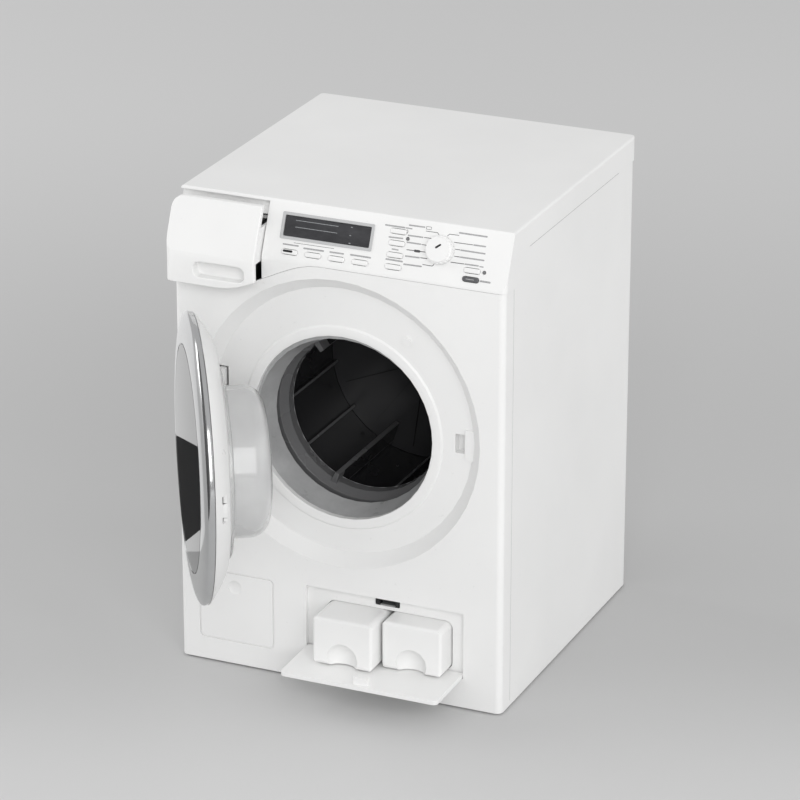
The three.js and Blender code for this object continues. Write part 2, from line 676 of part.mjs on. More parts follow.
// Everything above the seam, or below it, as seen from the front, shifted up by a rise.
function seamRegion(rise, limit) {
  const reach = SIDE + CUT_OVERRUN;
  const points = [[-reach, limit], [-reach, seamHeight(-reach) + rise]];
  for (let i = 0; i <= SEAM_POINTS; i += 1) {
    const x = THREE.MathUtils.lerp(SEAM_CURVE_START, SEAM_CURVE_END, i / SEAM_POINTS);
    points.push([x, seamHeight(x) + rise]);
  }
  points.push([reach, seamHeight(reach) + rise], [reach, limit]);
  return polygon(points);
}

// The side outline of cover and fascia, moved inwards by an inset: up the front, over and down the back.
function coverSection(inset, foot) {
  const front = FRONT + inset;
  const bend = frontBend(inset);
  const top = HEIGHT - inset;
  const topFront = slopeY(top, inset);
  const edge = Math.max(COVER_EDGE - inset, 0);
  const run = FASCIA_BEND_LENGTH;
  const [rise, fall] = [Math.cos(FASCIA_TILT), Math.sin(FASCIA_TILT)];
  const shape = new THREE.Shape();
  shape.moveTo(front, foot);
  shape.lineTo(front, bend - run);
  shape.quadraticCurveTo(front, bend, front + run * fall, bend + run * rise);
  shape.lineTo(topFront - edge * fall, top - edge * rise);
  if (edge > 0) shape.quadraticCurveTo(topFront, top, topFront + edge, top);
  shape.lineTo(BACK - inset, top);
  shape.lineTo(BACK - inset, foot);
  return shape;
}

// The lower edge of the cover's side: from the front seam in an S curve up to the skirt.
function skirtPoints(shift) {
  const points = [];
  for (let i = 0; i <= SEAM_POINTS; i += 1) {
    const share = i / SEAM_POINTS;
    const along = THREE.MathUtils.smoothstep(share, 0, 1);
    points.push([
      RETURN_PLANE + share * SKIRT_STEP_RUN,
      THREE.MathUtils.lerp(FASCIA_SEAM_HEIGHT, SKIRT_HEIGHT, along) + shift,
    ]);
  }
  return points;
}

// Fascia coordinates: x across, up the slope, and out of the face.
const fasciaMatrix = new THREE.Matrix4()
  .makeRotationX(Math.PI / 2 - FASCIA_TILT)
  .setPosition(0, FASCIA_TOP_Y, HEIGHT);

function onFascia(shape) {
  return shape.transform(fasciaMatrix.elements);
}

function pill(x, drop, width, tall) {
  const radius = (tall / 2) * BUTTON_ROUND_SHARE;
  return roundedRect(x - width / 2, x + width / 2, -drop - tall / 2, -drop + tall / 2, radius);
}

function ngon(a, b, radius, facets) {
  const points = [];
  for (let i = 0; i < facets; i += 1) {
    const angle = (2 * Math.PI * i) / facets;
    points.push([a + radius * Math.cos(angle), b + radius * Math.sin(angle)]);
  }
  return polygon(points);
}

// Every push button: name, place, size and colour.
function buttonList() {
  const list = [];
  for (let i = 0; i < ROW_BUTTONS; i += 1) {
    list.push(['row_button_' + (i + 1), ROW_FIRST_X + i * ROW_PITCH, ROW_DROP, white]);
  }
  for (let i = 0; i < COLUMN_BUTTONS; i += 1) {
    list.push(['option_button_' + (i + 1), COLUMN_X, COLUMN_FIRST_DROP + i * COLUMN_PITCH, white]);
  }
  list.push(['start_button', START_X, START_DROP, white]);
  list.push(['power_button', START_X, POWER_DROP, darkGrey]);
  return list;
}

const lampList = [['option_lamp', LAMP_X, LAMP_DROP], ['start_lamp', START_LAMP_X, START_DROP]];
const BOARD_FACE = -(WALL + SEAM_GAP + BUTTON_FLANGE_THICKNESS + BUTTON_STEM_LENGTH + BUTTON_TRAVEL
  + SWITCH_GAP + SWITCH_TALL);

// Front surface of fascia and drawer moved inwards by an inset.
function frontBend(inset) {
  return FASCIA_BEND_HEIGHT - inset * Math.tan(FASCIA_TILT / 2);
}

function slopeY(height, inset) {
  return FRONT + inset + Math.max(height - frontBend(inset), 0) * Math.tan(FASCIA_TILT);
}

// A strip between two insets from the front surface, from a foot height to a top height.
function frontBand(outer, inner, foot, top) {
  return polygon([
    [slopeY(foot, outer), foot],
    [slopeY(frontBend(outer), outer), frontBend(outer)],
    [slopeY(top, outer), top],
    [slopeY(top, inner), top],
    [slopeY(frontBend(inner), inner), frontBend(inner)],
    [slopeY(foot, inner), foot],
  ]);
}

// The body box below the cover, moved inwards by an inset.
function bodyBlank(inset, foot, top) {
  const side = BODY_SIDE - inset;
  const back = BACK - COVER_PROUD - inset;
  return roundedBlock(-side, side, FRONT + inset, back, foot, top, CABINET_CORNER_RADIUS - inset);
}

function bodyWalls() {
  return cut(
    bodyBlank(0, FLOOR_CLEARANCE, HEIGHT),
    bodyBlank(WALL, FLOOR_CLEARANCE - CUT_OVERRUN, HEIGHT + CUT_OVERRUN),
  );
}

// Screw bosses stand in the four corners and run into both walls.
function screwPlaces(ends) {
  const x = BODY_SIDE - WALL - SCREW_BOSS_RADIUS + SCREW_BOSS_BITE;
  const front = FRONT + WALL + SCREW_BOSS_RADIUS - SCREW_BOSS_BITE;
  const back = BACK - COVER_PROUD - WALL - SCREW_BOSS_RADIUS + SCREW_BOSS_BITE;
  return ends.flatMap((end) => [-x, x].map((side) => [side, end === 'front' ? front : back]));
}

function withBosses(shell, end) {
  const foot = BASE_TOP + SEAM_GAP;
  const bore = SCREW_SHANK_RADIUS + SCREW_CLEARANCE;
  return screwPlaces([end]).reduce((whole, at) => cut(
    whole.add(rodAlong('z', SCREW_BOSS_RADIUS, at, foot, foot + SCREW_BOSS_TALL, SCREW_FACETS)),
    rodAlong('z', bore, at, foot - CUT_OVERRUN, foot + SCREW_SHANK_LENGTH, SCREW_FACETS),
  ), shell);
}

function cabinetShell() {
  const outline = polygon([
    [RETURN_PLANE + SEAM_GAP, FLOOR_CLEARANCE - CUT_OVERRUN],
    [RETURN_PLANE + SEAM_GAP, FASCIA_SEAM_HEIGHT - SEAM_GAP],
    ...skirtPoints(-SEAM_GAP).slice(1),
    [BACK + CUT_OVERRUN, SKIRT_HEIGHT - SEAM_GAP],
    [BACK + CUT_OVERRUN, FLOOR_CLEARANCE - CUT_OVERRUN],
  ]);
  const sides = bodyWalls().intersect(prism(outline, 'x', -SIDE, SIDE));
  return piece('cabinet_shell', withBosses(sides, 'back'), white);
}

// Dish of the porthole: a steep wall down to a flat floor, about its own centre.
function dishBack(grow) {
  return turned([
    [0, FRONT + WALL / 2],
    [DISH_RADIUS + DISH_WALL + grow, FRONT + WALL / 2],
    [DISH_FLOOR_RADIUS + DISH_WALL + grow, PANEL_BACK + grow],
    [0, PANEL_BACK + grow],
  ], 0, DISH_HEIGHT, DISH_FACETS);
}

// Hollows behind the dish wall that let the two hinge knuckles turn.
function knuckleReliefs() {
  return [-1, 1].map((way) => {
    const middle = DISH_HEIGHT + way * HINGE_SLOT_RISE;
    const half = ARM_TALL / 2 + RUN_GAP;
    return rodAlong('z', KNUCKLE_RADIUS + RUN_GAP, [HINGE_X, HINGE_Y], middle - half, middle + half);
  });
}

function dishHollow() {
  const flare = (DISH_RADIUS - DISH_FLOOR_RADIUS) / DISH_DEPTH;
  return turned([
    [0, FRONT - CUT_OVERRUN],
    [DISH_RADIUS + CUT_OVERRUN * flare, FRONT - CUT_OVERRUN],
    [DISH_FLOOR_RADIUS, DISH_FLOOR],
    [0, DISH_FLOOR],
  ], 0, DISH_HEIGHT, DISH_FACETS);
}

// The rolled bead round the opening, trimmed by the opening itself.
function openingBead() {
  const middle = OPENING_RADIUS + BEAD_WIDTH / 2 - BEAD_TRIM;
  const root = DISH_FLOOR + WALL / 2;
  const profile = [[middle - BEAD_WIDTH / 2, root]];
  for (let i = 0; i <= BEAD_STEPS; i += 1) {
    const angle = Math.PI * (1 - i / BEAD_STEPS);
    profile.push([middle + (BEAD_WIDTH / 2) * Math.cos(angle), DISH_FLOOR - BEAD_PROUD * Math.sin(angle)]);
  }
  profile.push([middle + BEAD_WIDTH / 2, root]);
  return turned(profile, 0, OPENING_HEIGHT, DISH_FACETS);
}

function hingeSlots() {
  return [-1, 1].map((way) => {
    const middle = DISH_HEIGHT + way * HINGE_SLOT_RISE;
    return block(
      HINGE_SLOT_RIGHT - HINGE_SLOT_WIDTH,
      HINGE_SLOT_RIGHT,
      DISH_FLOOR - HINGE_SLOT_REACH,
      PANEL_BACK + CUT_OVERRUN,
      middle - HINGE_SLOT_TALL / 2,
      middle + HINGE_SLOT_TALL / 2,
    );
  });
}

// A closed pocket behind the latch slot takes the tongue of the door's catch.
function latchPocket(grow) {
  return block(
    LATCH_SLOT_LEFT - grow,
    LATCH_SLOT_LEFT + LATCH_SLOT_WIDTH + grow,
    DISH_FLOOR,
    DISH_FLOOR + LATCH_POCKET_DEPTH + grow,
    LATCH_HEIGHT - LATCH_SLOT_TALL / 2 - grow,
    LATCH_HEIGHT + LATCH_SLOT_TALL / 2 + grow,
  );
}

function filterOutline() {
  const line = (inset) => prism(
    roundedRect(
      FILTER_LEFT + inset,
      FILTER_RIGHT - inset,
      FILTER_BOTTOM + inset,
      FILTER_TOP - inset,
      FILTER_CORNER - inset,
    ),
    'y',
    FRONT - CUT_OVERRUN,
    FRONT + GROOVE_DEPTH,
    1,
  );
  return cut(line(0), line(GROOVE_WIDTH));
}

// The recess that the flap closes, and the pocket behind it for the containers.
function recessTools() {
  const recess = roundedRect(RECESS_LEFT, RECESS_RIGHT, RECESS_BOTTOM, RECESS_TOP, RECESS_CORNER);
  const pocket = roundedRect(POCKET_LEFT, POCKET_RIGHT, POCKET_BOTTOM, POCKET_TOP, POCKET_CORNER);
  const latch = latchOutline(SEAM_GAP);
  const bore = FLAP_PIN_RADIUS + PIN_CLEARANCE;
  const reach = FLAP_PIN_LENGTH + SEAM_GAP;
  return [
    prism(recess, 'y', FRONT - CUT_OVERRUN, RECESS_FLOOR),
    prism(pocket, 'y', FRONT - CUT_OVERRUN, PAD_BACK + CUT_OVERRUN),
    prism(latch, 'y', FRONT, PAD_BACK + CUT_OVERRUN),
    rodAlong('x', bore, FLAP_PIVOT, RECESS_LEFT - reach, RECESS_RIGHT + reach, SCREW_FACETS),
  ];
}

function recessPad() {
  const rim = RECESS_RIM;
  const pad = block(
    RECESS_LEFT - rim,
    RECESS_RIGHT + rim,
    FRONT + WALL / 2,
    PAD_BACK,
    RECESS_BOTTOM - rim,
    RECESS_TOP + rim,
  );
  return pad;
}

function frontPanel() {
  const panelWalls = bodyWalls().intersect(
    block(-SIDE, SIDE, FRONT - CUT_OVERRUN, RETURN_PLANE, 0, HEIGHT),
  );
  const floorRoot = DISH_FLOOR + WALL / 2;
  const land = block(
    LAND_LEFT,
    LAND_RIGHT,
    DISH_FLOOR - LAND_PROUD,
    floorRoot,
    LATCH_HEIGHT - LAND_TALL / 2,
    LATCH_HEIGHT + LAND_TALL / 2,
  );
  const peg = rodY(PEG_RADIUS, PEG_X, PEG_HEIGHT, DISH_FLOOR - PEG_PROUD, floorRoot);
  const latchSlot = block(
    LATCH_SLOT_LEFT,
    LATCH_SLOT_LEFT + LATCH_SLOT_WIDTH,
    FRONT,
    DISH_FLOOR + LATCH_POCKET_DEPTH,
    LATCH_HEIGHT - LATCH_SLOT_TALL / 2,
    LATCH_HEIGHT + LATCH_SLOT_TALL / 2,
  );
  const opening = rodY(OPENING_RADIUS, 0, OPENING_HEIGHT, FRONT, PANEL_BACK + CUT_OVERRUN, DISH_FACETS);
  const dimple = ellipsoid([DIMPLE_RADIUS, DIMPLE_DEPTH, DIMPLE_RADIUS], [DIMPLE_X, FRONT, DIMPLE_HEIGHT]);
  const aboveSeam = prism(
    seamRegion(-SEAM_GAP, HEIGHT + CUT_OVERRUN),
    'y',
    FRONT - CUT_OVERRUN,
    RETURN_PLANE + CUT_OVERRUN,
  );
  const dished = cut(union(panelWalls, dishBack(0), recessPad()), dishHollow(), ...knuckleReliefs());
  const raised = union(dished, openingBead(), land, peg, latchPocket(LATCH_POCKET_WALL));
  const shaped = cut(raised, opening, latchSlot, ...hingeSlots(), ...recessTools());
  return piece(
    'front_panel',
    withBosses(cut(shaped, filterOutline(), dimple, aboveSeam), 'front'),
    white,
  );
}

// The cover before its openings: a block with the slanted front and small rounded edges.
function coverBlank(inset, foot) {
  const side = SIDE - inset;
  const corner = CABINET_CORNER_RADIUS - inset;
  return prism(coverSection(inset, foot), 'x', -side, side)
    .intersect(roundedBlock(-side, side, FRONT + inset, BACK - inset, foot, HEIGHT, corner));
}

function aboveSkirt() {
  return prism(polygon([
    [FRONT - CUT_OVERRUN, DRAWER_SEAM_HEIGHT],
    [RETURN_PLANE, DRAWER_SEAM_HEIGHT],
    ...skirtPoints(0),
    [BACK + CUT_OVERRUN, SKIRT_HEIGHT],
    [BACK + CUT_OVERRUN, HEIGHT + CUT_OVERRUN],
    [FRONT - CUT_OVERRUN, HEIGHT + CUT_OVERRUN],
  ]), 'x', -SIDE, SIDE);
}

// Where the drawer front lies the cover steps back, leaving a narrow column at the corner.
function drawerStep() {
  const top = DRAWER_TOP + RUN_GAP;
  const step = frontBand(
    -CUT_OVERRUN,
    DRAWER_FRONT_THICKNESS + RUN_GAP,
    DRAWER_SEAM_HEIGHT - CUT_OVERRUN,
    top,
  );
  return prism(step, 'x', -SIDE - CUT_OVERRUN, DRAWER_RIGHT + SEAM_GAP);
}

// Behind the drawer front: a column at the corner and a lintel that hangs from the top.
function drawerColumn() {
  const near = DRAWER_FRONT_THICKNESS + RUN_GAP;
  const strip = frontBand(near, near + WALL, DRAWER_SEAM_HEIGHT, HEIGHT - WALL / 2);
  const left = -SIDE + WALL / 2;
  const lintel = prism(strip, 'x', left, DRAWER_RIGHT + WALL).intersect(block(
    -SIDE,
    SIDE,
    FRONT,
    BACK,
    HEIGHT - DRAWER_LINTEL_DROP,
    HEIGHT,
  ));
  return union(prism(strip, 'x', left, -SIDE + DRAWER_COLUMN_WIDTH), lintel);
}

function fasciaHoles() {
  const from = -WALL - SEAM_GAP;
  const tools = buttonList().map(([, x, drop]) => prism(
    pill(x, drop, BUTTON_WIDTH + 2 * BUTTON_CLEARANCE, BUTTON_TALL + 2 * BUTTON_CLEARANCE),
    'z',
    from,
    CUT_OVERRUN,
    1,
  ));
  lampList.forEach(([, x, drop]) => {
    tools.push(prism(ngon(x, -drop, LAMP_RADIUS + BUTTON_CLEARANCE, SCREW_FACETS), 'z', from, CUT_OVERRUN));
  });
  const knobBore = KNOB_STEM_RADIUS + BUTTON_CLEARANCE;
  tools.push(prism(ngon(KNOB_X, -KNOB_DROP, knobBore, PIN_FACETS), 'z', from, CUT_OVERRUN));
  tools.push(prism(displayRect(DISPLAY_FLANGE), 'z', from, CUT_OVERRUN, 1));
  return onFascia(union(...tools));
}

function boardBosses() {
  const places = [BOSS_X, BOSS_RIGHT_X].flatMap((x) => [[x, BOSS_UPPER_DROP], [x, BOSS_LOWER_DROP]]);
  const bosses = places.map(([x, drop]) => prism(
    ngon(x, -drop, BOSS_RADIUS, SCREW_FACETS),
    'z',
    BOARD_FACE + SEAM_GAP,
    -WALL / 2,
  ));
  return onFascia(union(...bosses));
}

function topCover() {
  const edge = roundedRect(-SIDE, SIDE, 0, HEIGHT, COVER_SIDE_EDGE);
  const outer = coverBlank(0, DRAWER_SEAM_HEIGHT)
    .intersect(prism(edge, 'y', FRONT - CUT_OVERRUN, BACK + CUT_OVERRUN))
    .intersect(aboveSkirt());
  const inner = coverBlank(WALL, DRAWER_SEAM_HEIGHT - CUT_OVERRUN);
  const belowSeam = prism(seamRegion(0, 0), 'y', FRONT - CUT_OVERRUN, RETURN_PLANE);
  const shell = cut(outer, inner, drawerStep());
  const fitted = union(shell, drawerColumn(), boardBosses());
  return piece('top_cover', cut(fitted, belowSeam, fasciaHoles()), white);
}

// Fixed pieces of the fascia
function displayRect(inset) {
  return roundedRect(
    DISPLAY_LEFT + inset,
    DISPLAY_RIGHT - inset,
    -DISPLAY_BOTTOM_DROP + inset,
    -DISPLAY_TOP_DROP - inset,
    DISPLAY_CORNER,
  );
}

function displayFrame() {
  const lensSeat = -LENS_THICKNESS - SEAM_GAP;
  const flange = prism(displayRect(0), 'z', FACE_GAP, DISPLAY_PROUD);
  const body = prism(displayRect(DISPLAY_FLANGE + SEAM_GAP), 'z', -DISPLAY_DEPTH, DISPLAY_PROUD / 2);
  const window = prism(displayRect(DISPLAY_BORDER), 'z', lensSeat, CUT_OVERRUN);
  const through = prism(displayRect(DISPLAY_BORDER + DISPLAY_LEDGE), 'z', -CUT_OVERRUN, CUT_OVERRUN);
  return piece('display_frame', onFascia(cut(union(flange, body), window, through)), silver);
}

function displayLens() {
  const lens = prism(displayRect(DISPLAY_BORDER + SEAM_GAP), 'z', -LENS_THICKNESS, 0);
  return piece('display_lens', onFascia(lens), darkGrey);
}

function lamp(name, x, drop) {
  const reach = -(WALL + SEAM_GAP + LAMP_FLANGE_THICKNESS);
  const dome = prism(ngon(x, -drop, LAMP_RADIUS, SCREW_FACETS), 'z', reach, LAMP_PROUD);
  const flange = prism(ngon(x, -drop, LAMP_FLANGE_RADIUS, SCREW_FACETS), 'z', reach, -WALL - SEAM_GAP);
  return piece(name, onFascia(union(dome, flange)), clearPlastic);
}

function pushButton(name, x, drop, material) {
  const back = -WALL - SEAM_GAP;
  const outline = pill(x, drop, BUTTON_WIDTH, BUTTON_TALL);
  const cap = prism(outline, 'z', back - BUTTON_FLANGE_THICKNESS, BUTTON_PROUD, 1);
  const flange = prism(
    pill(x, drop, BUTTON_WIDTH + 2 * BUTTON_FLANGE, BUTTON_TALL + 2 * BUTTON_FLANGE),
    'z',
    back - BUTTON_FLANGE_THICKNESS,
    back,
    1,
  );
  const stemFoot = back - BUTTON_FLANGE_THICKNESS - BUTTON_STEM_LENGTH;
  const stem = prism(ngon(x, -drop, BUTTON_STEM_RADIUS, SCREW_FACETS), 'z', stemFoot, back - SEAM_GAP);
  return piece(name, onFascia(union(cap, flange, stem)), material);
}

// The knob has a fluted rim, a sloping shoulder and a cut pointer.
function programmeKnob() {
  const rim = [];
  for (let i = 0; i < 2 * KNOB_FLUTES; i += 1) {
    const angle = (Math.PI * i) / KNOB_FLUTES;
    const radius = KNOB_RADIUS - (i % 2) * KNOB_FLUTE_DEPTH;
    rim.push([radius * Math.cos(angle), radius * Math.sin(angle)]);
  }
  const shoulder = KNOB_PROUD - KNOB_SHOULDER;
  const body = prism(polygon(rim), 'z', RUN_GAP, shoulder);
  const top = new THREE.CylinderGeometry(KNOB_TOP_RADIUS, KNOB_RIM_RADIUS, KNOB_SHOULDER, 2 * KNOB_FLUTES);
  top.rotateX(Math.PI / 2).translate(0, 0, shoulder + KNOB_SHOULDER / 2);
  const stem = rodAlong('z', KNOB_STEM_RADIUS, [0, 0], BOARD_FACE + ENCODER_TALL + SEAM_GAP, KNOB_PROUD / 2);
  const pointer = block(
    -KNOB_POINTER_LENGTH / 2,
    KNOB_POINTER_LENGTH / 2,
    -KNOB_POINTER_WIDTH / 2,
    KNOB_POINTER_WIDTH / 2,
    KNOB_PROUD - KNOB_POINTER_DEPTH,
    KNOB_PROUD + CUT_OVERRUN,
  ).rotate([0, 0, KNOB_POINTER_DEG]).translate([0, KNOB_POINTER_RISE, 0]);
  const whole = cut(union(body, solid(top), stem), pointer);
  return piece('programme_knob', onFascia(whole.translate([KNOB_X, -KNOB_DROP, 0])), white);
}

function circuitBoard() {
  const board = prism(
    roundedRect(BOARD_LEFT, BOARD_RIGHT, -BOARD_BOTTOM_DROP, -BOARD_TOP_DROP, DISPLAY_CORNER),
    'z',
    BOARD_FACE - BOARD_THICKNESS,
    BOARD_FACE,
    1,
  );
  const foot = BOARD_FACE - BOARD_THICKNESS / 2;
  const switches = buttonList().map(([, x, drop]) => prism(
    ngon(x, -drop, SWITCH_RADIUS, SCREW_FACETS),
    'z',
    foot,
    BOARD_FACE + SWITCH_TALL,
  ));
  const encoder = prism(
    ngon(KNOB_X, -KNOB_DROP, ENCODER_RADIUS, PIN_FACETS),
    'z',
    foot,
    BOARD_FACE + ENCODER_TALL,
  );
  return piece('circuit_board', onFascia(union(board, encoder, ...switches)), boardGreen);
}

// Door pieces, all in the closed place
function doorRing() {
  const face = FRONT - DOOR_PROUD;
  const crown = [];
  for (let i = 0; i <= RING_STEPS; i += 1) {
    const angle = ((Math.PI / 2) * i) / RING_STEPS;
    crown.push([
      DOOR_GLASS_RADIUS + (DOOR_RADIUS - DOOR_GLASS_RADIUS) * Math.sin(angle),
      face + DOOR_RING_CROWN * (1 - Math.cos(angle)),
    ]);
  }
  const rim = face + DOOR_RING_DEPTH;
  const ledge = face + DOOR_GLASS_THICKNESS + SEAM_GAP;
  const under = ledge + DOOR_RING_WALL;
  const profile = [
    ...crown,
    [DOOR_RADIUS, rim],
    [DOOR_RADIUS - DOOR_RING_WALL, rim],
    [DOOR_RADIUS - DOOR_RING_WALL, under],
    [DOOR_GLASS_RADIUS - DOOR_LEDGE, under],
    [DOOR_GLASS_RADIUS - DOOR_LEDGE, ledge],
    [DOOR_GLASS_RADIUS, ledge],
  ];
  return piece('door_ring', turned(profile, 0, DISH_HEIGHT, DISH_FACETS), silver);
}

function doorGlass() {
  const rim = DOOR_GLASS_RADIUS - SEAM_GAP;
  const back = FRONT - DOOR_PROUD + DOOR_GLASS_THICKNESS;
  const front = back - DOOR_GLASS_THICKNESS;
  const profile = [
    [0, back],
    [rim, back],
    [rim, front],
    [rim * DOME_SHOULDER_SHARE, front - DOOR_GLASS_DOME * DOME_RISE_SHARE],
    [rim / 2, front - DOOR_GLASS_DOME],
    [0, front - DOOR_GLASS_DOME],
  ];
  return piece('door_glass', turned(profile, 0, DISH_HEIGHT, DISH_FACETS), smokeGlass);
}

// The white frame behind the ring: a flat inner face that slopes out to the rim in a taut curve.
function frameCurve(inset) {
  const points = [];
  for (let i = 0; i <= RING_STEPS; i += 1) {
    const angle = ((Math.PI / 2) * i) / RING_STEPS;
    points.push([
      DOOR_FACE_RADIUS + (DOOR_FRAME_TAPER - inset) * Math.cos(angle) ** DOOR_FRAME_CURVE,
      DOOR_FACE - DOOR_FRAME_DEPTH + (DOOR_FRAME_DEPTH - inset) * Math.sin(angle) ** DOOR_FRAME_CURVE,
    ]);
  }
  return points;
}

// Depth of the frame's slope at a distance from the door's middle, moved inwards by an inset.
function frameSlopeY(radius, inset) {
  const out = Math.min((radius - DOOR_FACE_RADIUS) / (DOOR_FRAME_TAPER - inset), 1);
  const rise = Math.sqrt(1 - out ** (2 / DOOR_FRAME_CURVE)) ** DOOR_FRAME_CURVE;
  return DOOR_FACE - DOOR_FRAME_DEPTH + (DOOR_FRAME_DEPTH - inset) * rise;
}

function doorFrame() {
  const blank = turned([
    ...frameCurve(0),
    [BOWL_END_RADIUS, DOOR_FACE],
    [BOWL_END_RADIUS, DOOR_FACE - DOOR_FRAME_WALL],
    ...frameCurve(DOOR_FRAME_WALL).reverse(),
  ], 0, DISH_HEIGHT, DISH_FACETS);
  const bowlHole = rodY(
    BOWL_RADIUS + SEAM_GAP,
    0,
    BOWL_HEIGHT,
    DOOR_FACE - DOOR_FRAME_WALL - CUT_OVERRUN,
    DOOR_FACE + CUT_OVERRUN,
    DISH_FACETS,
  );
  const slotMiddle = DOOR_FACE - DOOR_FRAME_DEPTH / 2 + SIDE_SLOT_SHIFT;
  const sideSlot = block(
    DOOR_FACE_RADIUS + DOOR_FRAME_TAPER / 2 - SIDE_SLOT_DEPTH,
    DOOR_FRAME_RADIUS + CUT_OVERRUN,
    slotMiddle - SIDE_SLOT_WIDTH / 2,
    slotMiddle + SIDE_SLOT_WIDTH / 2,
    DISH_HEIGHT - SIDE_SLOT_TALL / 2,
    DISH_HEIGHT + SIDE_SLOT_TALL / 2,
  );
  const arms = [-1, 1].map((way) => armBar(way, SEAM_GAP));
  const catchHole = catchRoot(SEAM_GAP);
  return piece('door_frame', cut(blank, bowlHole, sideSlot, catchHole, ...arms), doorWhite);
}

// The clear bowl: a flange inside the frame and a rounded end that reaches into the drum mouth.
function bowlWall(inset) {
  const end = DOOR_FACE + BOWL_DEPTH - inset;
  const corner = BOWL_RADIUS - BOWL_END_RADIUS - inset;
  const points = [];
  for (let i = 0; i <= BOWL_STEPS; i += 1) {
    const angle = ((Math.PI / 2) * i) / BOWL_STEPS;
    points.push([
      BOWL_END_RADIUS + corner * Math.cos(angle),
      end - corner * (1 - Math.sin(angle)),
    ]);
  }
  return [...points, [0, end + BOWL_CROWN]];
}

function doorBowl() {
  const plate = DOOR_FACE - DOOR_FRAME_WALL - SEAM_GAP;
  const flangeFront = plate - BOWL_FLANGE_THICKNESS;
  const profile = [
    ...bowlWall(BOWL_WALL).reverse(),
    [BOWL_RADIUS - BOWL_WALL, flangeFront],
    [BOWL_RADIUS + BOWL_FLANGE, flangeFront],
    [BOWL_RADIUS + BOWL_FLANGE, plate],
    [BOWL_RADIUS, plate],
    ...bowlWall(0),
  ];
  return piece('door_bowl', turned(profile, 0, BOWL_HEIGHT, DISH_FACETS), clearPlastic);
}

// The catch sits with its flange inside the frame's slope, below the place where its tongue comes through.
function catchSeat() {
  const outermost = LATCH_SLOT_LEFT + (LATCH_SLOT_WIDTH + TONGUE_THICKNESS) / 2;
  const radius = Math.hypot(outermost, LATCH_DROP + TONGUE_TALL / 2 + TONGUE_FLANGE);
  return frameSlopeY(radius, DOOR_FRAME_WALL) - SEAM_GAP;
}

function catchRoot(grow) {
  const middle = LATCH_SLOT_LEFT + LATCH_SLOT_WIDTH / 2;
  return block(
    middle - TONGUE_THICKNESS / 2 - grow,
    middle + TONGUE_THICKNESS / 2 + grow,
    catchSeat() - TONGUE_ROOT - grow,
    DOOR_FACE + TONGUE_LENGTH + grow,
    LATCH_HEIGHT - TONGUE_TALL / 2 - grow,
    LATCH_HEIGHT + TONGUE_TALL / 2 + grow,
  );
}

function doorCatch() {
  const middle = LATCH_SLOT_LEFT + LATCH_SLOT_WIDTH / 2;
  const flange = block(
    middle - TONGUE_THICKNESS / 2 - TONGUE_FLANGE,
    middle + TONGUE_THICKNESS / 2,
    catchSeat() - TONGUE_ROOT,
    catchSeat(),
    LATCH_HEIGHT - TONGUE_TALL / 2 - TONGUE_FLANGE,
    LATCH_HEIGHT + TONGUE_TALL / 2 + TONGUE_FLANGE,
  );
  return piece('door_catch', union(catchRoot(0), flange), doorWhite);
}

// A hinge arm is an arc about the pin, so that it slides through its slot as the door turns.
function armArc(thickness, fromDeg, toDeg) {
  const outer = ARM_RADIUS + thickness / 2;
  const inner = ARM_RADIUS - thickness / 2;
  const points = [];
  const at = (radius, share) => {
    const angle = THREE.MathUtils.degToRad(THREE.MathUtils.lerp(fromDeg, toDeg, share));
    return [HINGE_X + radius * Math.cos(angle), HINGE_Y + radius * Math.sin(angle)];
  };
  for (let i = 0; i <= ARM_STEPS; i += 1) points.push(at(outer, i / ARM_STEPS));
  for (let i = ARM_STEPS; i >= 0; i -= 1) points.push(at(inner, i / ARM_STEPS));
  return polygon(points);
}

function armBar(way, grow) {
  const middle = DISH_HEIGHT + way * HINGE_SLOT_RISE;
  return prism(
    armArc(ARM_THICKNESS + 2 * grow, ARM_ROOT_DEG, ARM_END_DEG),
    'z',
    middle - ARM_TALL / 2 - grow,
    middle + ARM_TALL / 2 + grow,
  );
}

function hingeArm(name, way) {
  const middle = DISH_HEIGHT + way * HINGE_SLOT_RISE;
  const foot = middle - ARM_TALL / 2;
  const head = middle + ARM_TALL / 2;
  const knuckle = rodAlong('z', KNUCKLE_RADIUS, [HINGE_X, HINGE_Y], foot, head);
  const link = block(0, ARM_RADIUS, -ARM_THICKNESS / 2, ARM_THICKNESS / 2, foot, head)
    .rotate([0, 0, ARM_END_DEG - ARM_LINK_BACK_DEG])
    .translate([HINGE_X, HINGE_Y, 0]);
  const bore = rodAlong(
    'z',
    PIN_RADIUS + PIN_CLEARANCE,
    [HINGE_X, HINGE_Y],
    foot - CUT_OVERRUN,
    head + CUT_OVERRUN,
  );
  return piece(name, cut(union(armBar(way, 0), knuckle, link), bore), doorWhite);
}

function hingePin() {
  const reach = HINGE_SLOT_RISE + ARM_TALL / 2 + RUN_GAP + BRACKET_LUG_TALL;
  return piece(
    'hinge_pin',
    rodAlong('z', PIN_RADIUS, [HINGE_X, HINGE_Y], DISH_HEIGHT - reach, DISH_HEIGHT + reach),
    steel,
  );
}

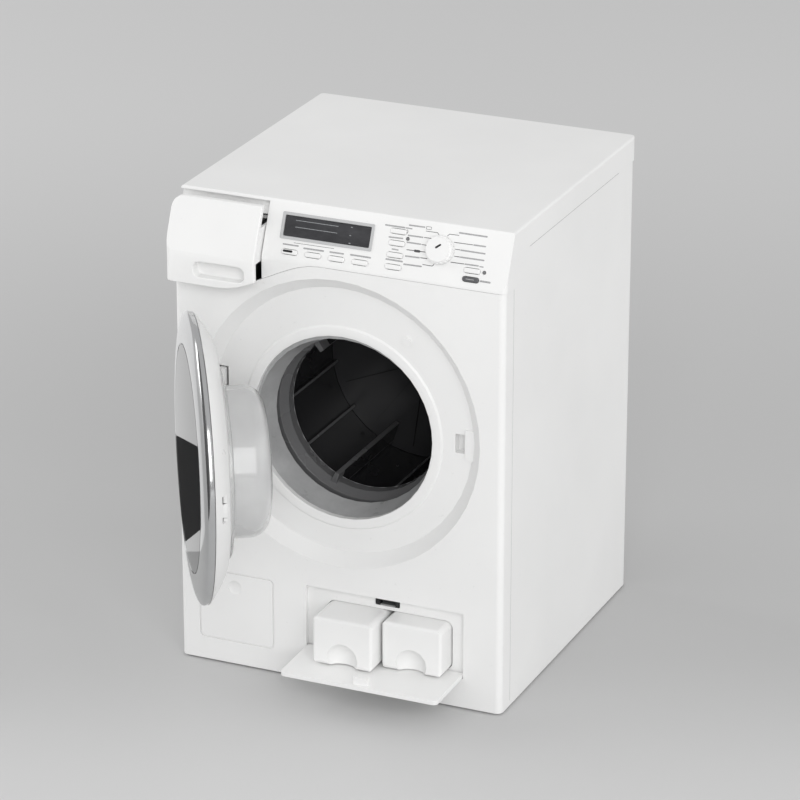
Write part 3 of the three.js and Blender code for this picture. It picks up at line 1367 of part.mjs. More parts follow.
// The bracket stands in the corner behind the front panel and carries the pin above and below each arm.
function hingeBracket() {
  const left = -BODY_SIDE + WALL + SEAM_GAP;
  const near = FRONT + WALL + SEAM_GAP;
  const reach = HINGE_SLOT_RISE + ARM_TALL / 2 + RUN_GAP + BRACKET_LUG_TALL;
  const far = HINGE_Y + BRACKET_GRIP;
  const web = roundedBlock(
    left,
    left + BRACKET_WEB,
    near,
    far,
    DISH_HEIGHT - reach,
    DISH_HEIGHT + reach,
    BRACKET_CORNER,
  );
  const lugs = [-1, 1].flatMap((way) => {
    const middle = DISH_HEIGHT + way * HINGE_SLOT_RISE;
    const half = ARM_TALL / 2 + RUN_GAP;
    return [
      [middle + half, middle + half + BRACKET_LUG_TALL],
      [middle - half - BRACKET_LUG_TALL, middle - half],
    ];
  });
  const right = HINGE_X + BRACKET_LUG_REACH;
  const plates = lugs.map(([foot, head]) => roundedBlock(left, right, near, far, foot, head, BRACKET_CORNER));
  const bore = rodAlong(
    'z',
    PIN_RADIUS + PIN_CLEARANCE,
    [HINGE_X, HINGE_Y],
    DISH_HEIGHT - reach - CUT_OVERRUN,
    DISH_HEIGHT + reach + CUT_OVERRUN,
  );
  return piece('hinge_bracket', cut(union(web, ...plates), bore, dishBack(RUN_GAP)), greyPlastic);
}

// Gasket, tub, drum and drive share one axis.
function gasketRing() {
  const front = PANEL_BACK + SEAM_GAP;
  const behind = front + GASKET_WALL;
  const end = front + GASKET_DEPTH;
  const mouth = GASKET_INNER_RADIUS + GASKET_FLARE;
  return piece('gasket_ring', turned([
    [TUB_INNER - SEAM_GAP, front],
    [mouth, front],
    [GASKET_INNER_RADIUS, end],
    [GASKET_INNER_RADIUS + GASKET_WALL, end],
    [mouth + GASKET_WALL, behind],
    [TUB_INNER - SEAM_GAP, behind],
  ], 0, DRUM_HEIGHT), greyRubber);
}

function tubBody() {
  const bore = SHAFT_RADIUS + SHAFT_CLEARANCE;
  const outer = TUB_INNER + TUB_WALL;
  const front = PANEL_BACK + SEAM_GAP;
  const ring = turned([
    [bore, TUB_BACK - TUB_WALL],
    [TUB_INNER, TUB_BACK - TUB_WALL],
    [TUB_INNER, front],
    [outer, front],
    [outer, TUB_BACK],
    [TUB_BOSS_RADIUS, TUB_BACK],
    [TUB_BOSS_RADIUS, TUB_BACK + TUB_BOSS_LENGTH],
    [bore, TUB_BACK + TUB_BOSS_LENGTH],
  ], 0, DRUM_HEIGHT);
  const posts = motorPosts().map(([x, z]) => rodY(
    MOTOR_POST_RADIUS,
    x,
    z,
    TUB_BACK - TUB_WALL / 2,
    MOTOR_PLATE_FRONT - SEAM_GAP,
    SCREW_FACETS,
  ));
  return piece('tub', union(ring, ...posts), greyPlastic);
}

// Places about the drum axis, along and across the direction of the motor.
function fromAxis(along, across) {
  const angle = THREE.MathUtils.degToRad(MOTOR_ANGLE_DEG);
  return [
    along * Math.cos(angle) - across * Math.sin(angle),
    DRUM_HEIGHT + along * Math.sin(angle) + across * Math.cos(angle),
  ];
}

function motorPosts() {
  return [-1, 1].map((way) => fromAxis(MOTOR_POST_DISTANCE, way * MOTOR_POST_SPREAD));
}

function drumShell() {
  const outer = DRUM_RADIUS + DRUM_WALL;
  const lipOuter = DRUM_LIP_RADIUS + DRUM_WALL;
  const collarEnd = DRUM_FRONT + DRUM_COLLAR_LENGTH;
  const inside = DRUM_FRONT + DRUM_WALL;
  const shell = turned([
    [DRUM_LIP_RADIUS, collarEnd + DRUM_LIP_LENGTH],
    [DRUM_LIP_RADIUS, collarEnd],
    [DRUM_LIP_RADIUS + DRUM_COLLAR_FLARE, DRUM_FRONT],
    [outer, DRUM_FRONT],
    [outer, DRUM_BACK],
    [DRUM_RADIUS, DRUM_BACK],
    [DRUM_RADIUS, inside],
    [lipOuter + DRUM_COLLAR_FLARE, inside],
    [lipOuter, collarEnd + DRUM_WALL],
    [lipOuter, collarEnd + DRUM_LIP_LENGTH],
  ], 0, DRUM_HEIGHT);
  const fins = [];
  for (let i = 0; i < DRUM_RIBS; i += 1) {
    const big = i % DRUM_BAFFLE_EVERY === 0;
    const tall = big ? DRUM_BAFFLE_TALL : DRUM_RIB_TALL;
    const half = (big ? DRUM_BAFFLE_THICKNESS : DRUM_RIB_THICKNESS) / 2;
    const rootHalf = big ? half * DRUM_BAFFLE_ROOT_SHARE : half;
    const section = polygon([
      [DRUM_RADIUS - tall, -half],
      [outer - DRUM_WALL / 2, -rootHalf],
      [outer - DRUM_WALL / 2, rootHalf],
      [DRUM_RADIUS - tall, half],
    ]);
    const fin = prism(section, 'y', inside + DRUM_FIN_GAP, DRUM_BACK - DRUM_END_THICKNESS - SEAM_GAP);
    fins.push(aboutDrum(fin, DRUM_PHASE_DEG + (i * FULL_TURN_DEG) / DRUM_RIBS));
  }
  return piece('drum_shell', union(shell, ...fins), smokePlastic);
}

function aboutDrum(shape, degrees) {
  return shape.rotate([0, -degrees, 0]).translate([0, 0, DRUM_HEIGHT]);
}

function drumBack() {
  const back = DRUM_BACK;
  const face = back - DRUM_END_THICKNESS;
  const disc = turned([
    [0, face - DRUM_HUB_TALL],
    [DRUM_HUB_RADIUS * DRUM_HUB_SHARE, face - DRUM_HUB_TALL],
    [DRUM_HUB_RADIUS, face],
    [DRUM_RADIUS - SEAM_GAP, face],
    [DRUM_RADIUS - SEAM_GAP, back],
    [0, back],
  ], 0, DRUM_HEIGHT);
  const spokes = [];
  for (let i = 0; i < DRUM_RIBS; i += 1) {
    const spoke = block(
      DRUM_HUB_RADIUS * DRUM_HUB_SHARE,
      DRUM_RADIUS - DRUM_RIB_TALL - DRUM_SPOKE_WIDTH,
      face - DRUM_SPOKE_TALL,
      face + DRUM_END_THICKNESS / 2,
      -DRUM_SPOKE_WIDTH / 2,
      DRUM_SPOKE_WIDTH / 2,
    );
    spokes.push(aboutDrum(spoke, DRUM_PHASE_DEG + ((i + 1 / 2) * FULL_TURN_DEG) / DRUM_RIBS));
  }
  const bore = rodY(SHAFT_RADIUS + PIN_CLEARANCE, 0, DRUM_HEIGHT, SHAFT_FRONT - SEAM_GAP, back + CUT_OVERRUN);
  return piece('drum_back', cut(union(disc, ...spokes), bore), smokePlastic);
}

function drumShaft() {
  const back = GEAR_FRONT + GEAR_WIDTH + GEAR_GAP;
  return piece('drum_shaft', rodY(SHAFT_RADIUS, 0, DRUM_HEIGHT, SHAFT_FRONT, back), steel);
}

// Gear outline with involute flanks, drawn in the plane across the drum axis.
function gearOutline(teeth, turnShare) {
  const pitch = (GEAR_MODULE * teeth) / 2;
  const pressure = THREE.MathUtils.degToRad(PRESSURE_ANGLE_DEG);
  const base = pitch * Math.cos(pressure);
  const involute = (angle) => Math.tan(angle) - angle;
  const root = pitch - GEAR_MODULE * ROOT_SHARE;
  const tip = pitch + GEAR_MODULE * TIP_SHARE;
  const half = (Math.PI / (2 * teeth)) * TOOTH_WIDTH_SHARE;
  const flank = (radius) => {
    const opened = radius > base ? involute(Math.acos(base / radius)) : 0;
    return half + involute(pressure) - opened;
  };
  const points = [];
  for (let i = 0; i < teeth; i += 1) {
    const middle = (2 * Math.PI * (i + turnShare)) / teeth;
    [root, tip].forEach((radius) => points.push([radius, middle - flank(radius)]));
    [tip, root].forEach((radius) => points.push([radius, middle + flank(radius)]));
  }
  return polygon(points.map(([radius, angle]) => [radius * Math.cos(angle), radius * Math.sin(angle)]));
}

function gear(name, teeth, turnShare, bore, centre, material) {
  const blank = prism(gearOutline(teeth, turnShare), 'y', GEAR_FRONT, GEAR_FRONT + GEAR_WIDTH)
    .rotate([0, -MOTOR_ANGLE_DEG, 0])
    .translate([centre[0], 0, centre[1]]);
  const back = GEAR_FRONT + GEAR_WIDTH;
  const hole = rodY(bore, centre[0], centre[1], GEAR_FRONT - CUT_OVERRUN, back + CUT_OVERRUN);
  return piece(name, cut(blank, hole), material);
}

function motorPlate() {
  const half = MOTOR_POST_SPREAD + MOTOR_PLATE_RIM;
  const outline = roundedRect(
    MOTOR_DISTANCE - MOTOR_RADIUS,
    MOTOR_POST_DISTANCE + MOTOR_PLATE_RIM,
    -half,
    half,
    MOTOR_POST_RADIUS,
  );
  const plate = aboutDrum(
    prism(outline, 'y', MOTOR_PLATE_FRONT, MOTOR_PLATE_FRONT + MOTOR_PLATE_THICKNESS),
    MOTOR_ANGLE_DEG,
  );
  const [x, z] = fromAxis(MOTOR_DISTANCE, 0);
  const hole = rodY(MOTOR_BOSS_RADIUS + SEAM_GAP, x, z, MOTOR_PLATE_FRONT - CUT_OVERRUN, MOTOR_BODY_FRONT);
  return piece('motor_plate', cut(plate, hole), steel);
}

function driveMotor() {
  const [x, z] = fromAxis(MOTOR_DISTANCE, 0);
  const body = turned([
    [0, GEAR_FRONT],
    [MOTOR_SHAFT_RADIUS, GEAR_FRONT],
    [MOTOR_SHAFT_RADIUS, MOTOR_PLATE_FRONT],
    [MOTOR_BOSS_RADIUS, MOTOR_PLATE_FRONT],
    [MOTOR_BOSS_RADIUS, MOTOR_BODY_FRONT],
    [MOTOR_RADIUS, MOTOR_BODY_FRONT],
    [MOTOR_RADIUS, MOTOR_BODY_FRONT + MOTOR_LENGTH],
    [0, MOTOR_BODY_FRONT + MOTOR_LENGTH],
  ], x, z, MOTOR_FACETS);
  return piece('drive_motor', body, motorSteel);
}

// Drawer: a front that follows the fascia, with a grip, and a divided tray behind it.
function drawerFront() {
  const foot = DRAWER_SEAM_HEIGHT;
  const band = frontBand(0, DRAWER_FRONT_THICKNESS, foot, DRAWER_TOP);
  const corner = new THREE.Shape();
  corner.moveTo(-SIDE, foot - CUT_OVERRUN);
  corner.lineTo(DRAWER_RIGHT, foot - CUT_OVERRUN);
  corner.lineTo(DRAWER_RIGHT, DRAWER_TOP);
  corner.absarc(-SIDE + DRAWER_CORNER, DRAWER_TOP - DRAWER_CORNER, DRAWER_CORNER, Math.PI / 2, Math.PI);
  corner.closePath();
  const face = prism(band, 'x', -SIDE, DRAWER_RIGHT)
    .intersect(prism(corner, 'y', FRONT - CUT_OVERRUN, FRONT + DEPTH / 2))
    .intersect(roundedBlock(-SIDE, SIDE, FRONT, BACK, foot - CUT_OVERRUN, HEIGHT, CABINET_CORNER_RADIUS));
  const grip = (grow) => roundedRect(
    GRIP_LEFT - grow,
    GRIP_RIGHT + grow,
    GRIP_BOTTOM - grow,
    GRIP_TOP + grow,
    ((GRIP_TOP - GRIP_BOTTOM) / 2) * GRIP_ROUND_SHARE + grow,
  );
  const cup = prism(grip(GRIP_WALL), 'y', FRONT + DRAWER_FRONT_THICKNESS / 2, FRONT + GRIP_DEPTH + GRIP_WALL);
  const recess = prism(grip(0), 'y', FRONT - CUT_OVERRUN, FRONT + GRIP_DEPTH);
  const belowSeam = prism(seamRegion(DRAWER_SEAM_GAP, 0), 'y', FRONT - CUT_OVERRUN, RETURN_PLANE);
  return piece('drawer_front', cut(union(face, cup), recess, belowSeam), white);
}

function drawerTray() {
  const near = DRAWER_FRONT_THICKNESS + FACE_GAP;
  const front = slopeY(TRAY_TOP, near);
  const back = FRONT + TRAY_LENGTH;
  const tray = prism(polygon([
    [slopeY(TRAY_BOTTOM, near), TRAY_BOTTOM],
    [slopeY(frontBend(near), near), frontBend(near)],
    [front, TRAY_TOP],
    [back, TRAY_TOP],
    [back, TRAY_BOTTOM],
  ]), 'x', TRAY_LEFT, TRAY_RIGHT);
  const inner = [TRAY_LEFT + TRAY_WALL, TRAY_RIGHT - TRAY_WALL];
  const split = THREE.MathUtils.lerp(inner[0], inner[1], TRAY_DIVIDER_SHARE);
  const rooms = [[inner[0], split - TRAY_WALL / 2], [split + TRAY_WALL / 2, inner[1]]];
  const tools = rooms.map(([x0, x1]) => roundedBlock(
    x0,
    x1,
    front + TRAY_WALL,
    back - TRAY_WALL,
    TRAY_BOTTOM + TRAY_WALL,
    TRAY_TOP + CUT_OVERRUN,
    TRAY_CORNER,
  ));
  return piece('drawer_tray', cut(tray, ...tools), white);
}

// The sleeve that the tray runs in hangs from the top and touches the side wall.
function drawerSleeve() {
  const front = FRONT + SLEEVE_FRONT_INSET;
  const back = front + SLEEVE_LENGTH;
  const left = -BODY_SIDE + WALL + SEAM_GAP;
  const right = TRAY_RIGHT + RUN_GAP + SLEEVE_WALL;
  const foot = TRAY_BOTTOM - RUN_GAP - SLEEVE_WALL;
  const head = TRAY_TOP + RUN_GAP + SLEEVE_WALL;
  const box = block(left, right, front, back, foot, head);
  const hanger = block(
    left,
    right,
    back - SLEEVE_HANGER,
    back,
    head - SLEEVE_WALL / 2,
    HEIGHT - WALL - SEAM_GAP,
  );
  const bore = block(
    TRAY_LEFT - RUN_GAP,
    TRAY_RIGHT + RUN_GAP,
    front - CUT_OVERRUN,
    back - SLEEVE_WALL,
    TRAY_BOTTOM - RUN_GAP,
    TRAY_TOP + RUN_GAP,
  );
  return piece('drawer_sleeve', cut(union(box, hanger), bore), greyPlastic);
}

// Containers: hollow boxes open above, with a scooped finger notch low in the face.
function container(name, left, right) {
  const foot = POCKET_BOTTOM + CONTAINER_LIFT;
  const head = POCKET_TOP - CONTAINER_LIFT;
  const front = RECESS_FLOOR + CONTAINER_FRONT_INSET;
  const back = front + CONTAINER_LENGTH;
  const box = prism(roundedRect(left, right, foot, head, CONTAINER_CORNER), 'y', front, back);
  const face = roundedBlock(left, right, front, back, foot, head, CONTAINER_EDGE);
  const brow = prism(roundedRect(front, back, foot, head, CONTAINER_EDGE), 'x', left, right);
  const hollow = roundedBlock(
    left + CONTAINER_WALL,
    right - CONTAINER_WALL,
    front + CONTAINER_FACE,
    back - CONTAINER_WALL,
    foot + CONTAINER_WALL,
    head - CONTAINER_WALL,
    CONTAINER_EDGE,
  );
  const mouth = roundedBlock(
    left + CONTAINER_WALL + CONTAINER_LIP,
    right - CONTAINER_WALL - CONTAINER_LIP,
    front + CONTAINER_BROW,
    back - CONTAINER_WALL - CONTAINER_LIP,
    head - CONTAINER_WALL - CUT_OVERRUN,
    head + CUT_OVERRUN,
    CONTAINER_EDGE,
  );
  const scoop = ellipsoid(
    [SCOOP_RADIUS, SCOOP_BITE, SCOOP_TALL - SCOOP_DROP],
    [(left + right) / 2, front, foot + SCOOP_DROP],
  );
  return piece(name, cut(box.intersect(face).intersect(brow), hollow, mouth, scoop), white);
}

function pocketHousing() {
  const front = PAD_BACK + SEAM_GAP;
  const back = RECESS_FLOOR + CONTAINER_FRONT_INSET + CONTAINER_LENGTH + RUN_GAP + POCKET_WALL;
  const outer = roundedRect(
    POCKET_LEFT - POCKET_WALL,
    POCKET_RIGHT + POCKET_WALL,
    POCKET_BOTTOM - POCKET_WALL,
    POCKET_TOP + POCKET_WALL,
    POCKET_CORNER,
  );
  const inner = roundedRect(POCKET_LEFT, POCKET_RIGHT, POCKET_BOTTOM, POCKET_TOP, POCKET_CORNER);
  const legs = [POCKET_LEFT, POCKET_RIGHT].map((x) => block(
    x - POCKET_LEG / 2,
    x + POCKET_LEG / 2,
    back - POCKET_LEG,
    back,
    BASE_TOP + SEAM_GAP,
    POCKET_BOTTOM + POCKET_CORNER,
  ));
  const hollow = prism(inner, 'y', front - CUT_OVERRUN, back - POCKET_WALL);
  return piece('pocket_housing', cut(union(prism(outer, 'y', front, back), ...legs), hollow), greyPlastic);
}

// Flap: it turns on two pins at its lower edge, and a tongue near its upper edge enters the latch.
function serviceFlap() {
  const half = FLAP_THICKNESS / 2;
  const side = [];
  const [pivotY, pivotZ] = FLAP_PIVOT;
  const head = RECESS_TOP - RUN_GAP;
  for (let i = 0; i <= FLAP_EDGE_STEPS; i += 1) {
    const angle = Math.PI * (1 + i / FLAP_EDGE_STEPS);
    side.push([pivotY + half * Math.cos(angle), pivotZ + half * Math.sin(angle)]);
  }
  side.push([pivotY + half, head], [pivotY - half, head]);
  const left = RECESS_LEFT + RUN_GAP;
  const right = RECESS_RIGHT - RUN_GAP;
  const outline = roundedRect(left, right, pivotZ - half - FLAP_CORNER, head, FLAP_CORNER);
  const plate = prism(polygon(side), 'x', left, right)
    .intersect(prism(outline, 'y', FRONT - CUT_OVERRUN, PAD_BACK));
  const pins = rodAlong(
    'x',
    FLAP_PIN_RADIUS,
    FLAP_PIVOT,
    RECESS_LEFT - FLAP_PIN_LENGTH,
    RECESS_RIGHT + FLAP_PIN_LENGTH,
    SCREW_FACETS,
  );
  const tongue = block(
    LATCH_X - FLAP_TAB_WIDTH / 2,
    LATCH_X + FLAP_TAB_WIDTH / 2,
    pivotY,
    pivotY + half + FLAP_TAB_LENGTH,
    FLAP_TAB_HEIGHT - FLAP_TAB_TALL / 2,
    FLAP_TAB_HEIGHT + FLAP_TAB_TALL / 2,
  );
  return piece('service_flap', union(plate, pins, tongue), white);
}

// Outline of the latch block, with a notch between its two legs for the tongue.
function latchOutline(grow) {
  const left = LATCH_X - FLAP_LATCH_WIDTH / 2 - grow;
  const right = LATCH_X + FLAP_LATCH_WIDTH / 2 + grow;
  return roundedRect(
    left,
    right,
    FLAP_LATCH_HEIGHT - FLAP_LATCH_TALL / 2 - grow,
    FLAP_LATCH_HEIGHT + FLAP_LATCH_TALL / 2 + grow,
    FLAP_LATCH_CORNER + grow,
  );
}

function flapLatch() {
  const behind = PAD_BACK + SEAM_GAP;
  const body = prism(latchOutline(0), 'y', RECESS_FLOOR, behind + FLAP_LATCH_FLANGE_THICKNESS);
  const half = FLAP_LATCH_WIDTH / 2 + FLAP_LATCH_FLANGE;
  const flange = block(
    LATCH_X - half,
    LATCH_X + half,
    behind,
    behind + FLAP_LATCH_FLANGE_THICKNESS,
    FLAP_LATCH_HEIGHT - FLAP_LATCH_TALL / 2,
    FLAP_LATCH_HEIGHT + FLAP_LATCH_TALL / 2 + FLAP_LATCH_FLANGE,
  );
  const notch = block(
    LATCH_X - FLAP_TAB_WIDTH / 2 - RUN_GAP,
    LATCH_X + FLAP_TAB_WIDTH / 2 + RUN_GAP,
    FRONT,
    PAD_BACK + CUT_OVERRUN,
    FLAP_LATCH_HEIGHT - FLAP_LATCH_TALL / 2 - CUT_OVERRUN,
    FLAP_TAB_HEIGHT + FLAP_TAB_TALL / 2 + RUN_GAP,
  );
  return piece('flap_latch', cut(union(body, flange), notch), blackPlastic);
}

// Underside
function batteryDoorOutline(grow) {
  return [
    BATTERY_ROOM_LEFT - BATTERY_DOOR_LIP - grow,
    BATTERY_ROOM_RIGHT + BATTERY_DOOR_LIP + grow,
    BATTERY_ROOM_FRONT - BATTERY_DOOR_LIP - grow,
    BATTERY_ROOM_BACK + BATTERY_DOOR_LIP + grow,
  ];
}

function basePlate() {
  const side = BODY_SIDE - WALL - SEAM_GAP;
  const front = FRONT + WALL + SEAM_GAP;
  const back = BACK - COVER_PROUD - WALL - SEAM_GAP;
  const plate = roundedBlock(-side, side, front, back, BASE_HEIGHT, BASE_TOP, BATTERY_DOOR_CORNER);
  const doorHole = roundedBlock(
    ...batteryDoorOutline(SEAM_GAP),
    BASE_HEIGHT - CUT_OVERRUN,
    BASE_TOP + CUT_OVERRUN,
    BATTERY_DOOR_CORNER,
  );
  const bore = SCREW_SHANK_RADIUS + SCREW_CLEARANCE;
  const holes = screwPlaces(['front', 'back']).map((at) => rodAlong(
    'z',
    bore,
    at,
    BASE_HEIGHT - CUT_OVERRUN,
    BASE_TOP + CUT_OVERRUN,
    SCREW_FACETS,
  ));
  return piece('base_plate', cut(plate, doorHole, ...holes), white);
}

function batteryDoor() {
  const plate = roundedBlock(...batteryDoorOutline(0), BASE_HEIGHT, BASE_TOP, BATTERY_DOOR_CORNER);
  const middle = (BATTERY_ROOM_LEFT + BATTERY_ROOM_RIGHT) / 2;
  const grip = ellipsoid(
    [BATTERY_GRIP_WIDTH / 2, BATTERY_GRIP_LENGTH / 2, BASE_THICKNESS / 2],
    [middle, BATTERY_ROOM_BACK - BATTERY_GRIP_LENGTH, BASE_HEIGHT],
  );
  return piece('battery_door', cut(plate, grip), white);
}

function batteryBox() {
  const wall = BATTERY_BOX_WALL;
  const foot = BASE_TOP + SEAM_GAP;
  const head = foot + 2 * BATTERY_RADIUS + 2 * BATTERY_GAP + wall;
  const box = block(
    BATTERY_ROOM_LEFT - wall,
    BATTERY_ROOM_RIGHT + wall,
    BATTERY_ROOM_FRONT - wall,
    BATTERY_ROOM_BACK + wall,
    foot,
    head,
  );
  const [x0, x1, y0, y1] = batteryDoorOutline(BATTERY_BOX_FLANGE);
  const flange = block(x0, x1, y0, y1, foot, foot + wall);
  const room = block(
    BATTERY_ROOM_LEFT,
    BATTERY_ROOM_RIGHT,
    BATTERY_ROOM_FRONT,
    BATTERY_ROOM_BACK,
    foot - CUT_OVERRUN,
    head - wall,
  );
  return piece('battery_box', cut(union(box, flange), room), greyPlastic);
}

function battery(name, x) {
  const z = BASE_TOP + SEAM_GAP + BATTERY_RADIUS;
  const front = BATTERY_ROOM_FRONT + BATTERY_GAP;
  const end = front + BATTERY_LENGTH;
  return piece(name, turned([
    [0, front],
    [BATTERY_RADIUS, front],
    [BATTERY_RADIUS, end],
    [BATTERY_NIB_RADIUS, end],
    [BATTERY_NIB_RADIUS, end + BATTERY_NIB_LENGTH],
    [0, end + BATTERY_NIB_LENGTH],
  ], x, z, MOTOR_FACETS), steel);
}

function foot(name, x, y) {
  const tread = FOOT_RADIUS - FOOT_TAPER;
  const geometry = new THREE.CylinderGeometry(FOOT_RADIUS, tread, BASE_HEIGHT - FACE_GAP, PIN_FACETS);
  geometry.rotateX(Math.PI / 2).translate(x, y, (BASE_HEIGHT - FACE_GAP) / 2);
  return piece(name, solid(geometry), greyRubber);
}

function caseScrew(name, at) {
  const under = BASE_HEIGHT - FACE_GAP;
  const head = rodAlong('z', SCREW_HEAD_RADIUS, at, under - SCREW_HEAD_TALL, under, SCREW_FACETS);
  const tip = BASE_HEIGHT + SCREW_SHANK_LENGTH;
  const shank = rodAlong('z', SCREW_SHANK_RADIUS, at, under - SCREW_HEAD_TALL / 2, tip, SCREW_FACETS);
  const slot = block(
    at[0] - SCREW_SLOT / 2,
    at[0] + SCREW_SLOT / 2,
    at[1] - SCREW_HEAD_RADIUS,
    at[1] + SCREW_HEAD_RADIUS,
    BASE_HEIGHT - SCREW_HEAD_TALL - CUT_OVERRUN,
    BASE_HEIGHT - FACE_GAP - SCREW_HEAD_TALL / 2,
  );
  return piece(name, cut(union(head, shank), slot), steel);
}

// Assembly
const cabinet = new THREE.Group();
cabinet.name = 'toy_washing_machine';

function add(group, ...members) {
  members.forEach((member) => group.add(member));
  return group;
}

add(
  cabinet,
  cabinetShell(),
  frontPanel(),
  topCover(),
  basePlate(),
  batteryDoor(),
  batteryBox(),
  displayFrame(),
  displayLens(),
  circuitBoard(),
  gasketRing(),
  tubBody(),
  hingeBracket(),
  hingePin(),
  pocketHousing(),
  flapLatch(),
  drawerSleeve(),
  motorPlate(),
  driveMotor(),
);
lampList.forEach((entry) => cabinet.add(lamp(...entry)));
buttonList().forEach((entry) => cabinet.add(pushButton(...entry)));
batteryPlaces.forEach((x, i) => cabinet.add(battery('battery_' + (i + 1), x)));
screwPlaces(['front', 'back']).forEach((at, i) => cabinet.add(caseScrew('case_screw_' + (i + 1), at)));
[-1, 1].forEach((across, i) => [-1, 1].forEach((along, j) => {
  const name = 'foot_' + (2 * i + j + 1);
  cabinet.add(foot(name, across * (SIDE - FOOT_INSET), along * (BACK - FOOT_INSET)));
}));

cabinet.add(programmeKnob());
add(
  cabinet,
  drumShell(),
  drumBack(),
  drumShaft(),
  gear('drum_gear', GEAR_TEETH, 0, SHAFT_RADIUS + PIN_CLEARANCE, [0, DRUM_HEIGHT], gearWhite),
  gear(
    'motor_pinion',
    PINION_TEETH,
    1 / 2,
    MOTOR_SHAFT_RADIUS + PIN_CLEARANCE,
    fromAxis(MOTOR_DISTANCE, 0),
    gearWhite,
  ),
);

const [doorOuter, doorInner] = hinged([HINGE_X, HINGE_Y, 0], 'z', -DOOR_OPEN_DEG);
add(
  doorInner,
  doorRing(),
  doorGlass(),
  doorFrame(),
  doorBowl(),
  doorCatch(),
  hingeArm('hinge_arm_upper', 1),
  hingeArm('hinge_arm_lower', -1),
);
const [flapOuter, flapInner] = hinged([0, ...FLAP_PIVOT], 'x', FLAP_OPEN_DEG);
flapInner.add(serviceFlap());
const drawer = add(drawnOut(DRAWER_OUT), drawerFront(), drawerTray());
const leftBox = add(
  drawnOut(CONTAINER_LEFT_OUT),
  container('container_left', BOX_LEFT, BOX_MIDDLE - BOX_GAP / 2),
);
const rightBox = add(
  drawnOut(CONTAINER_RIGHT_OUT),
  container('container_right', BOX_MIDDLE + BOX_GAP / 2, BOX_RIGHT),
);
add(cabinet, doorOuter, flapOuter, drawer, leftBox, rightBox);

// The origin lies at the floor, below the middle of the box that the toy fills with its door open.
const reach = new THREE.Box3().setFromObject(cabinet, true);
cabinet.position.y = -(reach.min.y + reach.max.y) / 2;

export default cabinet;
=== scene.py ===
"""Toy washing machine: finished surfaces, materials and studio, laid out as a Blender add-on.

Lengths in the tables below are millimetres in the cabinet's own coordinates: X to the right,
Y towards the back, Z up, from the centre of the cabinet's footprint. world() turns them into
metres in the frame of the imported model.
"""

import json
import math

import bmesh
import bpy
import numpy as np
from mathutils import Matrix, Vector

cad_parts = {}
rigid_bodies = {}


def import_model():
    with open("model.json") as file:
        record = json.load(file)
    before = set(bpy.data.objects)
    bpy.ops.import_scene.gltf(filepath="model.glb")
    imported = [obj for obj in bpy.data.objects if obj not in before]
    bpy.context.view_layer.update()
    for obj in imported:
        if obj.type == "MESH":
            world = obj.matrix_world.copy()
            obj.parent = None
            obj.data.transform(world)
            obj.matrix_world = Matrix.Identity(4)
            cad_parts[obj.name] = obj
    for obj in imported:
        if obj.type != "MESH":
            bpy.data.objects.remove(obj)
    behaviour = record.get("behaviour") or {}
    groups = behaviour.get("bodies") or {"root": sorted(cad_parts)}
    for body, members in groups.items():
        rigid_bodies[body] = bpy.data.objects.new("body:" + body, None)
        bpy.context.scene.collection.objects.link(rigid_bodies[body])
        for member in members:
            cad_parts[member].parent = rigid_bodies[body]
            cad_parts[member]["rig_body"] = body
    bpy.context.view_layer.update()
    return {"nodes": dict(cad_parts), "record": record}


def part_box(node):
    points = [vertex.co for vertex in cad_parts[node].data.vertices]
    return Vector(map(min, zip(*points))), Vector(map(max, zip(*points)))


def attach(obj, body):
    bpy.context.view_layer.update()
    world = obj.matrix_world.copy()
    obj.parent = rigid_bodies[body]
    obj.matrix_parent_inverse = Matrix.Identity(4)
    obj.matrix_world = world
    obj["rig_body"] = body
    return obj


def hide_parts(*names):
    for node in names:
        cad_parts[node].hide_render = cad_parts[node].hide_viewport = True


bl_info = {
    "name": "Toy washing machine",
    "version": (1, 0, 0),
    "blender": (4, 5, 0),
    "location": "View3D > Sidebar > Washer",
    "description": "Builds the finished toy washing machine over its packed model",
    "category": "Object",
}

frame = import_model()

MM = 0.001
CABINET_DEPTH = 180.0

# Y of the middle of the cabinet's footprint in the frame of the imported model, in metres
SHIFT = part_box("top_cover")[1].y - CABINET_DEPTH / 2 * MM

# Places that several pieces share, in cabinet millimetres
FRONT = -90.0
TOP = 260.0
FASCIA_TILT = math.radians(23.0)
FASCIA_BEND = 232.1
FASCIA_TOP_Y = FRONT + (TOP - FASCIA_BEND) * math.tan(FASCIA_TILT)
DOOR_OPEN = math.radians(57.3)
HINGE = (-80.0, -83.6)
DOOR_Z = 146.6
DOOR_FRONT = FRONT - 9.7
DOOR_FACE = -84.6
BOWL_Z = 143.4
DRUM_Z = 140.8
# Depths of the drum's front collar that is painted grey as painted light
PAINTED_COLLAR_DEPTHS = (-49.6, -49.1)
DRUM_TIPS = (38.95, 50.6)
CAMERA_PLACE = (809.676, -1844.837, 938.944)
CAMERA_AZIMUTH = math.radians(23.8205)
CAMERA_ELEVATION = math.radians(21.9365)

# How meshes are cleaned, shaded and bevelled: distances in metres, creases in degrees
MERGE_COPY = 1e-6
MERGE_NEW = 2e-7
COPY_CREASE = 32.0
NEW_CREASE = 35.0
FLAT_ANGLE = math.radians(0.3)
BEVEL_ANGLE = math.radians(38.0)
BEVEL_SEGMENTS = 2
FACE_WEIGHT = 80

# A rounded corner takes at most this share of the shorter side next to it
CORNER_SHARE = 0.49


def world(points):
    """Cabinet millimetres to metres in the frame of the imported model."""
    out = np.array(points, float) * MM
    out[..., 1] += SHIFT
    return out


